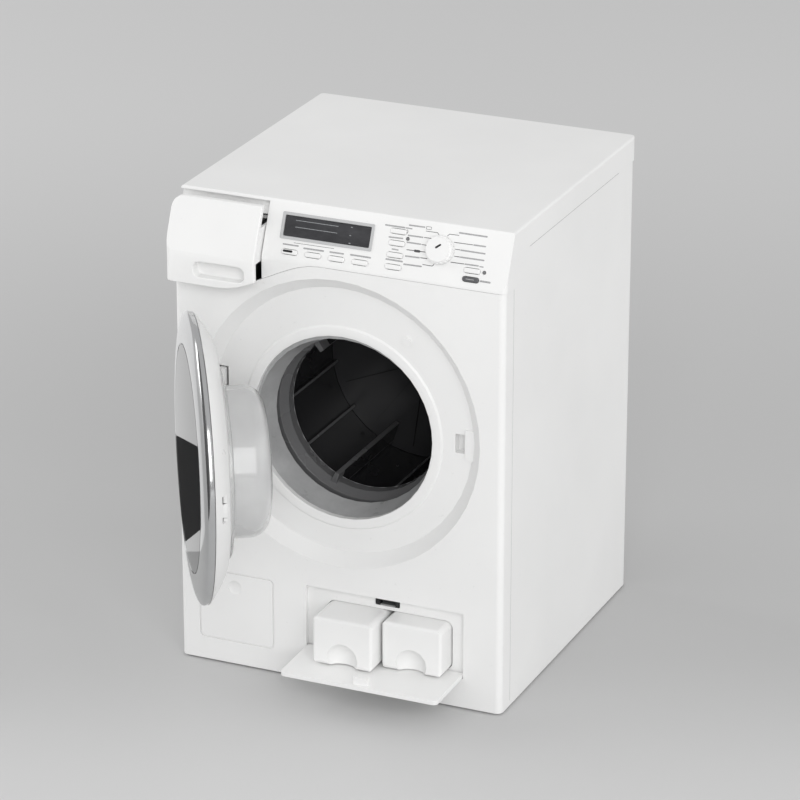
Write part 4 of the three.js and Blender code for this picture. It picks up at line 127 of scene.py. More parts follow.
def door_place(points):
    """Closed-door places turned about the upright hinge line to the open door."""
    out = np.array(points, float)
    x, y = out[..., 0] - HINGE[0], out[..., 1] - HINGE[1]
    cos, sin = math.cos(-DOOR_OPEN), math.sin(-DOOR_OPEN)
    out[..., 0] = HINGE[0] + x * cos - y * sin
    out[..., 1] = HINGE[1] + x * sin + y * cos
    return out


def fascia_place(points):
    """Fascia coordinates (across, up the slope, out of the face) to cabinet millimetres."""
    across, up, out = np.moveaxis(np.array(points, float), -1, 0)
    y = FASCIA_TOP_Y + up * math.sin(FASCIA_TILT) - out * math.cos(FASCIA_TILT)
    z = TOP + up * math.cos(FASCIA_TILT) + out * math.sin(FASCIA_TILT)
    return np.stack([across, y, z], -1)


# Surfaces


def softened(corners, radius, steps=5):
    """A closed outline with each corner replaced by a quadratic arc.

    The arc leaves and meets the two sides one radius away from the corner: (1-t)^2 of its
    start, 2t(1-t) of the corner and t^2 of its end.
    """
    p = np.asarray(corners, float)
    reach = np.broadcast_to(np.asarray(radius, float), len(p))[:, None]
    before, after = np.roll(p, 1, 0) - p, np.roll(p, -1, 0) - p
    long_before = np.linalg.norm(before, axis=1, keepdims=True)
    long_after = np.linalg.norm(after, axis=1, keepdims=True)
    reach = np.minimum(reach, CORNER_SHARE * np.minimum(long_before, long_after))
    start, end = p + before / long_before * reach, p + after / long_after * reach
    t = np.linspace(0, 1, steps)[None, :, None]
    arc = (1 - t) ** 2 * start[:, None] + 2 * t * (1 - t) * p[:, None] + t**2 * end[:, None]
    return arc.reshape(-1, 2)


def rounded_box(a0, a1, b0, b1, radius, steps=7):
    """A rectangle's outline with softened corners, anticlockwise."""
    return softened([(a0, b0), (a1, b0), (a1, b1), (a0, b1)], radius, steps)


def turned(profile, centre, turns=128):
    """A profile of (radius, y) carried round an axis along Y: x and z are the radius times
    cosine and sine of the turn. centre is (x, z), and z may be one value per profile point."""
    radius, y = np.asarray(profile, float).T
    angle = np.linspace(0, 2 * np.pi, turns, endpoint=False)[:, None]
    x = centre[0] + np.cos(angle) * radius
    z = np.asarray(centre[1]) + np.sin(angle) * radius
    return np.stack([x, np.broadcast_to(y, x.shape), z], -1)


def slab(outline, low, high, edge_low, edge_high, steps=5):
    """An outline carried from a low to a high plane, drawn in along its own normals.

    Near each end the inset follows a quarter circle of that end's edge radius, so the edge is
    round. The result is one ring of (a, b, height) per level.
    """
    outline = np.asarray(outline, float)
    tangent = np.roll(outline, -1, 0) - np.roll(outline, 1, 0)
    normal = np.stack([tangent[:, 1], -tangent[:, 0]], 1)
    normal /= np.maximum(np.linalg.norm(normal, axis=1, keepdims=True), 1e-9)
    turn = np.linspace(0, np.pi / 2, steps)
    inset = np.concatenate([edge_low * (1 - np.sin(turn)), edge_high * (1 - np.cos(turn))])
    level = np.concatenate(
        [low + edge_low * (1 - np.cos(turn)), high - edge_high * (1 - np.sin(turn))]
    )
    flat = outline[None] - normal[None] * inset[:, None, None]
    tall = np.broadcast_to(level[:, None, None], flat.shape[:2] + (1,))
    return np.concatenate([flat, tall], -1)


def grid_faces(rows, columns, close_rows, close_columns, first=0):
    """Quads between the neighbours of a grid, joined end to start where it closes."""
    r = np.arange(rows if close_rows else rows - 1)
    c = np.arange(columns if close_columns else columns - 1)
    r, c = np.meshgrid(r, c, indexing="ij")
    rn, cn = (r + 1) % rows, (c + 1) % columns
    quads = [r * columns + c, r * columns + cn, rn * columns + cn, rn * columns + c]
    return (np.stack(quads, -1).reshape(-1, 4) + first).tolist()


def ring_parts(points, caps=True):
    """Vertices and faces of stacked rings, with an end face over the first and last ring."""
    rows, columns = points.shape[:2]
    faces = grid_faces(rows, columns, False, True)
    if caps:
        last = np.arange(rows * columns - columns, rows * columns)
        faces += [np.arange(columns)[::-1].tolist(), last.tolist()]
    return points.reshape(-1, 3), faces


def turned_parts(points, closed):
    """Vertices and faces of a turned profile. closed says that the profile returns to its
    start; an open one begins and ends on the axis."""
    rows, columns = points.shape[:2]
    return points.reshape(-1, 3), grid_faces(rows, columns, True, closed)


def joined(*parts):
    """Several pieces' vertices and faces in one list."""
    starts = np.cumsum([0] + [len(points) for points, _ in parts[:-1]])
    faces = [
        [corner + int(start) for corner in face]
        for start, (_, some) in zip(starts, parts)
        for face in some
    ]
    return np.concatenate([points for points, _ in parts]), faces


def new_piece(name, parts, material, body, replaces=(), crease=NEW_CREASE):
    """A named mesh object from (vertices in cabinet millimetres, faces).

    Doubles are merged so that seams and poles close, the faces are turned outwards, and edges
    sharper than the crease angle stay sharp in the shading.
    """
    points, faces = parts
    mesh = bpy.data.meshes.new(name)
    mesh.from_pydata(world(points).tolist(), [], faces)
    tidy(mesh, crease)
    mesh.materials.append(material)
    piece = bpy.data.objects.new(name, mesh)
    bpy.context.scene.collection.objects.link(piece)
    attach(piece, body)
    if replaces:
        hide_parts(*replaces)
    return piece


def tidy(mesh, crease):
    """Merges doubles, turns the faces outwards and shades smooth up to the crease angle."""
    work = bmesh.new()
    work.from_mesh(mesh)
    bmesh.ops.remove_doubles(work, verts=work.verts, dist=MERGE_NEW)
    bmesh.ops.recalc_face_normals(work, faces=work.faces)
    work.to_mesh(mesh)
    work.free()
    mesh.polygons.foreach_set("use_smooth", np.ones(len(mesh.polygons), bool))
    mesh.set_sharp_from_angle(angle=math.radians(crease))


def finished_node(node, material, crease=COPY_CREASE, edge=0.0):
    """A merged copy of a CAD node that stands for it, with smooth curves and soft edges.

    The copy's flat faces are joined, its curves are shaded by face area, and an edge radius in
    millimetres rounds its sharp edges.
    """
    source = frame["nodes"][node]
    mesh = source.data.copy()
    mesh.name = node + "_finished"
    work = bmesh.new()
    work.from_mesh(mesh)
    bmesh.ops.remove_doubles(work, verts=work.verts, dist=MERGE_COPY)
    bmesh.ops.dissolve_limit(work, angle_limit=FLAT_ANGLE, verts=work.verts, edges=work.edges)
    work.to_mesh(mesh)
    work.free()
    if "custom_normal" in mesh.attributes:
        mesh.attributes.remove(mesh.attributes["custom_normal"])
    mesh.polygons.foreach_set("use_smooth", np.ones(len(mesh.polygons), bool))
    mesh.set_sharp_from_angle(angle=math.radians(crease))
    mesh.materials.clear()
    mesh.materials.append(material)
    piece = bpy.data.objects.new(node + "_finished", mesh)
    bpy.context.scene.collection.objects.link(piece)
    if edge:
        bevel = piece.modifiers.new("soft_edges", "BEVEL")
        bevel.width = edge * MM
        bevel.segments = BEVEL_SEGMENTS
        bevel.limit_method = "ANGLE"
        bevel.angle_limit = BEVEL_ANGLE
        bevel.use_clamp_overlap = True
        bevel.harden_normals = False
    weight = piece.modifiers.new("face_weight", "WEIGHTED_NORMAL")
    weight.keep_sharp = True
    weight.weight = FACE_WEIGHT
    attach(piece, source["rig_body"])
    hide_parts(node)
    return piece


def node_slot(node):
    """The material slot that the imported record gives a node."""
    for entry in frame["record"].get("subparts", []):
        if entry.get("node") == node:
            return entry.get("material_slot")
    raise RuntimeError("the record has no material slot for " + node)


# Materials


def add_node(tree, kind, inputs=None, **settings):
    """A shader node with its settings, and its inputs as values or links."""
    made = tree.nodes.new(kind)
    for key, value in settings.items():
        setattr(made, key, value)
    for key, value in (inputs or {}).items():
        socket = made.inputs[key]
        if isinstance(value, bpy.types.NodeSocket):
            tree.links.new(value, socket)
        else:
            socket.default_value = value
    return made


def object_place(tree):
    """Object coordinates, in metres."""
    return add_node(tree, "ShaderNodeTexCoord").outputs["Object"]


def noise(tree, place, scale, detail=2.0, roughness=0.5):
    """Noise from 0 to 1 with scale features to a metre."""
    made = add_node(
        tree,
        "ShaderNodeTexNoise",
        {"Vector": place, "Scale": scale, "Detail": detail, "Roughness": roughness},
    )
    return made.outputs["Fac"]


def spread(tree, value, low, high, to_low, to_high):
    """A value from low to high laid out from to_low to to_high."""
    made = add_node(
        tree,
        "ShaderNodeMapRange",
        {"Value": value, "From Min": low, "From Max": high, "To Min": to_low, "To Max": to_high},
    )
    return made.outputs["Result"]


def blend_colour(tree, factor, first, second):
    """A mix of two colours, from the first at factor 0 to the second at factor 1."""
    made = add_node(tree, "ShaderNodeMix", {0: factor, 6: first, 7: second}, data_type="RGBA")
    return made.outputs[2]


def bumped(tree, height, distance, strength=1.0, under=None):
    """A bumped normal. distance is the full height in metres, and under a normal below it."""
    inputs = {"Height": height, "Distance": distance, "Strength": strength}
    if under is not None:
        inputs["Normal"] = under
    return add_node(tree, "ShaderNodeBump", inputs).outputs["Normal"]


def shade(colour, factor):
    """A linear colour made lighter or darker by a factor, with full alpha."""
    return tuple(min(1.0, part * factor) for part in colour[:3]) + (1.0,)


def start_material(name):
    """A new material and its empty node tree."""
    material = bpy.data.materials.new(name)
    material.use_nodes = True
    material.node_tree.nodes.clear()
    return material, material.node_tree


def finish_material(tree, **inputs):
    """The surface shader, with its inputs as values or links."""
    values = {key.replace("_", " "): value for key, value in inputs.items()}
    shader = add_node(tree, "ShaderNodeBsdfPrincipled", values)
    add_node(tree, "ShaderNodeOutputMaterial", {"Surface": shader.outputs["BSDF"]})


def moulded_plastic(name, colour, rough, grain=0.5, drift=0.03):
    """Injection moulded plastic: a fine spark-eroded grain, slow sink waves, faint flow
    streaks in the colour, and smudges that change the gloss."""
    material, tree = start_material(name)
    place = object_place(tree)
    slow = noise(tree, place, 9.0, 3.0, 0.55)
    specks = noise(tree, place, 420.0, 2.0, 0.6)
    tone = blend_colour(
        tree,
        spread(tree, slow, 0.35, 0.65, 0.0, 1.0),
        shade(colour, 1.0 - drift),
        shade(colour, 1.0 + drift * 0.4),
    )
    fleck = spread(tree, specks, 0.70, 0.78, 0.0, 0.35)
    tone = blend_colour(tree, fleck, tone, shade(colour, 0.82))
    smudge = noise(tree, place, 34.0, 4.0, 0.62)
    gloss = spread(tree, smudge, 0.32, 0.70, rough - 0.06, rough + 0.09)
    waves = bumped(tree, noise(tree, place, 16.0, 1.0, 0.4), 0.00022, 0.35)
    skin = bumped(tree, noise(tree, place, 2600.0, 2.0, 0.6), 0.00002 * grain, 1.0, waves)
    finish_material(tree, Base_Color=tone, Roughness=gloss, Normal=skin, IOR=1.5)
    return material


def silver_lacquer(name, colour, rough):
    """Vacuum-plated plastic: fine flakes in the lacquer, and breath marks in the gloss."""
    material, tree = start_material(name)
    place = object_place(tree)
    flakes = noise(tree, place, 3800.0, 1.0, 0.5)
    cloud = noise(tree, place, 22.0, 3.0, 0.6)
    tone = blend_colour(
        tree, spread(tree, cloud, 0.35, 0.65, 0.0, 1.0), shade(colour, 0.94), shade(colour, 1.04)
    )
    tone = blend_colour(
        tree, spread(tree, flakes, 0.62, 0.74, 0.0, 0.3), tone, shade(colour, 1.25)
    )
    gloss = spread(tree, cloud, 0.3, 0.7, rough - 0.03, rough + 0.06)
    skin = bumped(tree, flakes, 0.000004, 0.6)
    finish_material(tree, Base_Color=tone, Metallic=0.92, Roughness=gloss, Normal=skin, IOR=1.5)
    return material


def smoke_glass(name, colour):
    """Dark polished window: nearly flat, with wipe marks that soften the mirror a little."""
    material, tree = start_material(name)
    place = object_place(tree)
    wipes = add_node(
        tree,
        "ShaderNodeMapping",
        {"Vector": place, "Rotation": (0.3, 0.5, 0.9), "Scale": (1.0, 6.0, 1.0)},
    ).outputs["Vector"]
    marks = noise(tree, wipes, 55.0, 4.0, 0.7)
    tone = blend_colour(
        tree, spread(tree, marks, 0.4, 0.8, 0.0, 1.0), shade(colour, 1.0), shade(colour, 1.7)
    )
    gloss = spread(tree, marks, 0.4, 0.75, 0.02, 0.05)
    skin = bumped(tree, noise(tree, place, 40.0, 1.0, 0.4), 0.00006, 0.25)
    finish_material(tree, Base_Color=tone, Roughness=gloss, Normal=skin, IOR=1.5)
    return material


def milky_moulding(name, tint):
    """Translucent polystyrene: mostly clear, with a pale haze in the wall, flow waves and
    hairline scuffs."""
    material, tree = start_material(name)
    place = object_place(tree)
    scuffs = noise(tree, place, 240.0, 3.0, 0.75)
    haze = noise(tree, place, 26.0, 2.0, 0.5)
    skin = bumped(tree, haze, 0.0002, 0.3)
    finish_material(
        tree,
        Base_Color=blend_colour(tree, haze, shade(tint, 0.985), shade(tint, 1.0)),
        Roughness=spread(tree, scuffs, 0.4, 0.8, 0.06, 0.16),
        Normal=skin,
        IOR=1.49,
        Transmission_Weight=spread(tree, haze, 0.3, 0.7, 0.74, 0.64),
    )
    return material


# The drum's painted light: the grey painted on its lit collar, a little darker on its ribs' tips
# as a painted highlight, and how near its radius a rib's tip is found
PAINTED_LIGHT_GREY = (0.13, 0.13, 0.133, 1.0)
TIP_REACH = 0.0004


def smoky_moulding(name, colour, rim_front, rim_back, tips=()):
    """Smoky drum plastic: nearly black, with smudges in the gloss, and painted light: the front
    collar between two depths is painted greyer, as if lit, and the ribs are painted paler along
    their tips as a painted highlight. Depths are along the drum's own axis in metres, and the
    tips are found by their distance from it in millimetres."""
    material, tree = start_material(name)
    place = object_place(tree)
    depth = add_node(tree, "ShaderNodeSeparateXYZ", {"Vector": place}).outputs["Y"]
    smudge = noise(tree, place, 30.0, 3.0, 0.6)
    tone = blend_colour(tree, smudge, shade(colour, 0.9), shade(colour, 1.1))
    # Painted light: the front collar is painted grey where light from the opening falls on it
    collar = spread(tree, depth, rim_front, rim_back, 1.0, 0.0)
    tone = blend_colour(tree, collar, tone, PAINTED_LIGHT_GREY)
    flat = add_node(
        tree,
        "ShaderNodeVectorMath",
        {0: place, 1: (1.0, 0.0, 1.0), 2: (0.0, 0.0, -DRUM_Z * MM)},
        operation="MULTIPLY_ADD",
    ).outputs["Vector"]
    radius = add_node(
        tree, "ShaderNodeVectorMath", {0: flat}, operation="LENGTH"
    ).outputs["Value"]
    # Painted highlight: each rib's tip is painted a paler grey
    for tip in tips:
        tip_highlight = add_node(
            tree, "ShaderNodeMath", {0: radius, 1: tip * MM, 2: TIP_REACH}, operation="COMPARE"
        ).outputs["Value"]
        tone = blend_colour(tree, tip_highlight, tone, shade(PAINTED_LIGHT_GREY, 0.9))
    skin = bumped(tree, noise(tree, place, 1200.0, 2.0, 0.6), 0.00001, 0.6)
    finish_material(
        tree,
        Base_Color=tone,
        Roughness=spread(tree, smudge, 0.3, 0.7, 0.2, 0.3),
        Normal=skin,
        IOR=1.55,
    )
    return material


def soft_rubber(name, colour, rough=0.5):
    """Elastomer: a talc bloom, fine pitting and a few paler scuffs."""
    material, tree = start_material(name)
    place = object_place(tree)
    bloom = noise(tree, place, 48.0, 5.0, 0.65)
    tone = blend_colour(
        tree, spread(tree, bloom, 0.35, 0.72, 0.0, 1.0), shade(colour, 0.9), shade(colour, 1.2)
    )
    gloss = spread(tree, bloom, 0.3, 0.7, rough, rough + 0.16)
    skin = bumped(tree, noise(tree, place, 1500.0, 3.0, 0.6), 0.00004, 0.7)
    finish_material(tree, Base_Color=tone, Roughness=gloss, Normal=skin, IOR=1.45)
    return material


def plated_steel(name, colour, rough):
    """Plated metal with drawing lines along its length and dull spots."""
    material, tree = start_material(name)
    place = object_place(tree)
    lines = add_node(
        tree, "ShaderNodeMapping", {"Vector": place, "Scale": (1.0, 0.06, 1.0)}
    ).outputs["Vector"]
    drawn = noise(tree, lines, 900.0, 2.0, 0.6)
    spots = noise(tree, place, 90.0, 4.0, 0.65)
    tone = blend_colour(
        tree, spread(tree, spots, 0.4, 0.7, 0.0, 1.0), shade(colour, 1.0), shade(colour, 0.82)
    )
    gloss = spread(tree, spots, 0.35, 0.7, rough, rough + 0.14)
    skin = bumped(tree, drawn, 0.00001, 0.7)
    finish_material(tree, Base_Color=tone, Metallic=1.0, Roughness=gloss, Normal=skin)
    return material


def board_laminate(name, colour):
    """Green circuit laminate: glass weave under the lacquer and paler copper lands."""
    material, tree = start_material(name)
    place = object_place(tree)
    weave = add_node(
        tree, "ShaderNodeTexWave", {"Vector": place, "Scale": 900.0, "Distortion": 1.5}
    ).outputs["Fac"]
    lands = add_node(
        tree, "ShaderNodeTexVoronoi", {"Vector": place, "Scale": 260.0}, feature="F1"
    ).outputs["Distance"]
    tone = blend_colour(tree, weave, shade(colour, 0.85), shade(colour, 1.15))
    tone = blend_colour(
        tree, spread(tree, lands, 0.12, 0.2, 0.5, 0.0), tone, (0.32, 0.27, 0.12, 1.0)
    )
    skin = bumped(tree, weave, 0.00002, 0.5)
    gloss = spread(tree, lands, 0.0, 0.6, 0.3, 0.5)
    finish_material(tree, Base_Color=tone, Roughness=gloss, Normal=skin)
    return material


def printed_ink(name, colour):
    """Pad-printed ink: slightly uneven cover and a soft gloss."""
    material, tree = start_material(name)
    place = object_place(tree)
    cover = noise(tree, place, 1600.0, 3.0, 0.6)
    tone = blend_colour(
        tree, spread(tree, cover, 0.3, 0.7, 0.0, 1.0), shade(colour, 0.85), shade(colour, 1.3)
    )
    gloss = spread(tree, cover, 0.3, 0.7, 0.3, 0.45)
    finish_material(tree, Base_Color=tone, Roughness=gloss, IOR=1.5)
    return material


# Where the studio paper is painted paler as painted light: metres behind the origin, from and to,
# and the factor
PAINTED_PAPER_LIGHT = ((0.3, 1.0, 1.25), (0.03, -0.15, 1.2))


def paper_floor(name, colour):
    """Seamless studio paper: a fine tooth, and painted light in a slow change of tone with
    distance. It is painted a little paler well behind the toy and just in front of it, which
    leaves a painted shade nearer the toy."""
    material, tree = start_material(name)
    place = object_place(tree)
    tooth = noise(tree, place, 600.0, 3.0, 0.6)
    cloud = noise(tree, place, 1.2, 2.0, 0.5)
    tone = blend_colour(
        tree, spread(tree, cloud, 0.3, 0.7, 0.0, 1.0), shade(colour, 0.99), shade(colour, 1.01)
    )
    away = (-math.sin(CAMERA_AZIMUTH), math.cos(CAMERA_AZIMUTH), 0.0)
    depth = add_node(
        tree, "ShaderNodeVectorMath", {0: place, 1: away}, operation="DOT_PRODUCT"
    ).outputs["Value"]
    # Painted light: paler paper away from the toy, which leaves painted shade near it
    for near, far, factor in PAINTED_PAPER_LIGHT:
        painted_paler = add_node(
            tree,
            "ShaderNodeMapRange",
            {"Value": depth, "From Min": near, "From Max": far},
            interpolation_type="SMOOTHSTEP",
        ).outputs["Result"]
        tone = blend_colour(tree, painted_paler, tone, shade(colour, factor))
    skin = bumped(tree, tooth, 0.00006, 0.5)
    finish_material(
        tree,
        Base_Color=tone,
        Roughness=spread(tree, tooth, 0.3, 0.7, 0.85, 0.95),
        Normal=skin,
        Specular_IOR_Level=0.2,
    )
    return material


# Settings that a user would change


class WasherFinish(bpy.types.PropertyGroup):
    """Colours and gloss of the toy's materials."""

    body: bpy.props.FloatVectorProperty(
        name="Body plastic",
        description="Colour of the white mouldings",
        subtype="COLOR",
        size=3,
        default=(0.86, 0.86, 0.855),
        min=0.0,
        max=1.0,
    )
    body_roughness: bpy.props.FloatProperty(
        name="Body roughness",
        description="Roughness of the white mouldings",
        subtype="FACTOR",
        default=0.36,
        min=0.0,
        max=1.0,
    )
    silver: bpy.props.FloatVectorProperty(
        name="Silver lacquer",
        description="Colour of the door ring and the display frame",
        subtype="COLOR",
        size=3,
        default=(0.56, 0.565, 0.57),
        min=0.0,
        max=1.0,
    )
    glass: bpy.props.FloatVectorProperty(
        name="Dark window",
        description="Colour of the door window",
        subtype="COLOR",
        size=3,
        default=(0.008, 0.008, 0.009),
        min=0.0,
        max=1.0,
    )
    clear: bpy.props.FloatVectorProperty(
        name="Clear moulding",
        description="Tint of the clear bowl",
        subtype="COLOR",
        size=3,
        default=(0.99, 0.992, 0.993),
        min=0.0,
        max=1.0,
    )
    rubber: bpy.props.FloatVectorProperty(
        name="Gasket",
        description="Colour of the grey gasket",
        subtype="COLOR",
        size=3,
        default=(0.42, 0.423, 0.426),
        min=0.0,
        max=1.0,
    )
    drum: bpy.props.FloatVectorProperty(
        name="Drum",
        description="Colour of the smoky drum",
        subtype="COLOR",
        size=3,
        default=(0.02, 0.02, 0.0215),
        min=0.0,
        max=1.0,
    )
    ink: bpy.props.FloatVectorProperty(
        name="Print",
        description="Colour of the printed lines on the fascia",
        subtype="COLOR",
        size=3,
        default=(0.10, 0.10, 0.105),
        min=0.0,
        max=1.0,
    )
    floor: bpy.props.FloatVectorProperty(
        name="Floor",
        description="Colour of the studio paper",
        subtype="COLOR",
        size=3,
        default=(0.532, 0.532, 0.532),
        min=0.0,
        max=1.0,
    )


class WasherShape(bpy.types.PropertyGroup):
    """Sizes of the finished edges and the fineness of round pieces."""

    edge: bpy.props.FloatProperty(
        name="Moulded edge",
        description="Edge radius of the mouldings, in millimetres",
        default=0.3,
        min=0.0,
        max=1.0,
    )
    turns: bpy.props.IntProperty(
        name="Turns",
        description="Segments round the door, the bowl and the gasket",
        default=160,
        min=32,
        max=360,
    )
    button_edge: bpy.props.FloatProperty(
        name="Button edge",
        description="Edge radius of the push buttons, in millimetres",
        default=0.45,
        min=0.0,
        max=1.0,
    )


class WasherStudio(bpy.types.PropertyGroup):
    """Lens and light levels."""

    lens: bpy.props.FloatProperty(
        name="Lens",
        description="Focal length in millimetres",
        unit="CAMERA",
        default=184.497,
        min=20.0,
    )
    lamps: bpy.props.FloatProperty(
        name="Lamps", description="Factor on the power of every lamp", default=1.0, min=0.0
    )
    room: bpy.props.FloatProperty(
        name="Room light", description="Strength of the even room light", default=0.6, min=0.0
    )


def finish():
    """The colours and gloss that are set in the scene."""
    return bpy.context.scene.washer_finish


def shape():
    """The edges and the fineness that are set in the scene."""
    return bpy.context.scene.washer_shape


def painted_collar_depths():
    """Where the drum's collar, painted greyer as painted light, begins to end and ends, in metres
    along its axis.
    """
    return [float(world((0.0, y, 0.0))[1]) for y in PAINTED_COLLAR_DEPTHS]


def material_for(slot):
    """The finish of one material slot, made on first use."""
    made = bpy.data.materials.get("washer_" + slot)
    if made:
        return made
    look = finish()
    name = "washer_" + slot
    makers = {
        "white_plastic": lambda: moulded_plastic(name, look.body, look.body_roughness),
        # Painted shade: the door's white is the body's white made a tenth darker, for the frame
        # that faces away from the lamps
        "door_white": lambda: moulded_plastic(name, shade(look.body, 0.9), 0.33, 0.3),
        "silver_plastic": lambda: silver_lacquer(name, look.silver, 0.09),
        "smoke_glass": lambda: smoke_glass(name, look.glass),
        "bowl": lambda: milky_moulding(name, look.clear),
        "lamp_lens": lambda: moulded_plastic(name, (0.2, 0.2, 0.205), 0.2, 0.2),
        "display_silver": lambda: moulded_plastic(name, (0.52, 0.525, 0.53), 0.25, 0.2),
        "gasket": lambda: soft_rubber(name, look.rubber, 0.24),
        "grey_rubber": lambda: soft_rubber(name, (0.16, 0.162, 0.165)),
        "smoke_plastic": lambda: smoky_moulding(name, shade(look.drum, 1.5), *painted_collar_depths()),
        "drum_wall": lambda: smoky_moulding(name, look.drum, *painted_collar_depths(), DRUM_TIPS),
        # Pale grey of the ring at the drum's mouth, painted light on its lit lip
        "drum_mouth_painted_light": lambda: moulded_plastic(name, (0.30, 0.30, 0.305), 0.25, 0.3),
        "black_plastic": lambda: moulded_plastic(name, (0.012, 0.012, 0.013), 0.42, 0.8, 0.2),
        "dark_grey_plastic": lambda: moulded_plastic(name, (0.11, 0.111, 0.116), 0.36, 0.5, 0.1),
        "grey_plastic": lambda: moulded_plastic(name, (0.26, 0.265, 0.27), 0.5, 1.0, 0.06),
        "steel": lambda: plated_steel(name, (0.55, 0.55, 0.56), 0.28),
        "board": lambda: board_laminate(name, (0.03, 0.12, 0.05)),
        "gear_white": lambda: moulded_plastic(name, (0.68, 0.68, 0.63), 0.45, 0.8, 0.05),
        "card": lambda: soft_rubber(name, (0.015, 0.015, 0.015)),
        # Grey of the side's seam lines, painted shade in their gaps
        "seam": lambda: moulded_plastic(name, (0.42, 0.42, 0.42), 0.6, 0.3),
        "ink": lambda: printed_ink(name, look.ink),
        "pale_ink": lambda: printed_ink(name, (0.36, 0.36, 0.365)),
        "display_light": lambda: printed_ink(name, (0.30, 0.31, 0.32)),
        "screen": lambda: smoke_glass(name, (0.045, 0.045, 0.048)),
    }
    return makers[slot]()


# Pieces


def finish_nodes(nodes, edge=None, crease=COPY_CREASE):
    """Merged, smooth copies of several CAD nodes in the finish of their own slots."""
    for node in nodes:
        radius = shape().edge if edge is None else edge
        finished_node(node, material_for(node_slot(node)), crease, radius)


# Printed lines: (x, drop) to (x, drop) and the line's width. A drop runs down the fascia's
# slope from its top edge. A print's two levels are heights over the face that it lies on.
PRINT_EDGE = 0.01
DISPLAY_PRINT = (-0.02, 0.03)
FACE_PRINT = (-0.05, 0.03)
DISPLAY_LINES = [
    (-25.8, 9.58, -2.5, 9.56, 0.28),
    (-25.6, 13.0, -2.6, 12.96, 0.28),
    (4.6, 9.0, 5.3, 9.0, 0.4),
    (4.5, 13.2, 5.1, 13.2, 0.35),
    (4.7, 17.1, 5.4, 17.1, 0.45),
]
LABEL_BARS = [
    (35.6, 3.7, 43.8, 3.6, 0.75),
    (35.8, 8.8, 43.6, 8.75, 0.75),
    (35.8, 12.3, 43.0, 12.3, 0.75),
    (36.1, 19.2, 43.4, 19.05, 0.75),
    (35.9, 23.35, 45.2, 23.2, 0.8),
    (62.7, 3.85, 69.4, 3.85, 0.8),
    (70.1, 3.85, 77.4, 3.85, 0.8),
    (71.3, 8.8, 77.4, 8.75, 0.75),
    (64.9, 12.25, 77.7, 12.3, 0.75),
    (65.3, 15.7, 77.7, 15.65, 0.75),
    (68.3, 18.8, 75.2, 18.7, 0.75),
    (76.2, 18.95, 77.9, 18.95, 0.6),
    (77.8, 26.0, 82.7, 26.05, 0.95),
    (22.9, 5.3, 33.2, 5.3, 0.8),
    (34.0, 5.3, 37.2, 5.35, 0.6),
    (25.7, 11.0, 33.0, 10.8, 0.75),
    (28.4, 16.7, 31.5, 16.8, 0.7),
    (26.0, 22.1, 34.7, 22.2, 0.85),
    (-30.7, 22.3, -22.5, 22.3, 0.75),
    (-19.1, 22.95, -8.5, 22.9, 0.85),
    (-4.7, 22.85, 2.6, 22.8, 0.8),
    (6.6, 22.65, 17.4, 22.7, 0.85),
]
LEADER_LINES = [
    (44.9, 5.4, 51.1, 5.4, 0.3),
    (51.1, 5.4, 52.0, 6.3, 0.3),
    (44.5, 8.7, 48.6, 8.66, 0.35),
    (43.7, 12.35, 46.4, 12.35, 0.35),
    (36.2, 15.98, 46.4, 15.84, 0.4),
    (40.7, 15.96, 42.9, 15.94, 1.3),
    (44.2, 18.95, 47.6, 18.9, 0.4),
    (45.9, 22.1, 51.0, 22.2, 0.35),
    (51.0, 22.2, 51.8, 21.3, 0.35),
    (56.6, 6.3, 57.5, 5.25, 0.3),
    (57.5, 5.25, 62.6, 5.15, 0.3),
    (60.8, 8.9, 70.7, 8.8, 0.35),
    (61.9, 12.2, 64.3, 12.2, 0.35),
    (61.9, 15.7, 64.7, 15.7, 0.35),
    (60.6, 18.9, 67.6, 18.8, 0.4),
    (44.8, 3.1, 47.4, 3.1, 0.22),
    (47.4, 3.1, 47.4, 4.4, 0.22),
    (47.4, 4.4, 44.8, 4.4, 0.22),
    (44.8, 4.4, 44.8, 3.1, 0.22),
    (34.9, 6.1, 35.3, 7.0, 0.25),
    (35.3, 7.0, 34.9, 8.0, 0.25),
    (-25.0, 20.98, -3.0, 20.88, 0.22),
]


def bar_outline(x0, up0, x1, up1, width, steps=7):
    """A bar with round ends: half circles of half the width about its two end points."""
    along = math.atan2(up1 - up0, x1 - x0)
    half = np.linspace(-np.pi / 2, np.pi / 2, steps)
    first = np.stack([np.cos(half + along + np.pi), np.sin(half + along + np.pi)], 1)
    last = np.stack([np.cos(half + along), np.sin(half + along)], 1)
    start = np.array([x0, up0]) + width / 2 * first
    end = np.array([x1, up1]) + width / 2 * last
    return np.concatenate([start, end])


def bar_parts(x0, drop0, x1, drop1, width, levels):
    """One printed line as a thin slab on the fascia, between two heights over its face."""
    outline = bar_outline(x0, -drop0, x1, -drop1, width)
    points, faces = ring_parts(slab(outline, *levels, 0.0, PRINT_EDGE, 2))
    return fascia_place(points), faces


# Grey lines painted along the joints between mouldings on the right side, as painted shade in
# their gaps: (y, z) to (y, z) and the line's width
SEAM_FACE = 91.5
SEAM_LEVELS = (-0.15, 0.02)
SEAM_STEPS = 3
SIDE_SEAM_SHADE = [
    (-60.0, 246.5, 66.0, 246.5, 0.55),
    (-77.8, 4.0, -77.8, 230.0, 0.14),
]


def seam_parts():
    """The side's seams, drawn as grey lines of painted shade: each line's outline lies in y and
    z, and is carried along x between two levels about the side's face."""
    parts = []
    for seam in SIDE_SEAM_SHADE:
        outline = bar_outline(*seam, SEAM_STEPS)
        points, faces = ring_parts(slab(outline, *SEAM_LEVELS, 0.0, PRINT_EDGE, 2))
        across = SEAM_FACE + points[:, 2]
        parts.append((np.stack([across, points[:, 0], points[:, 1]], 1), faces))
    return joined(*parts)


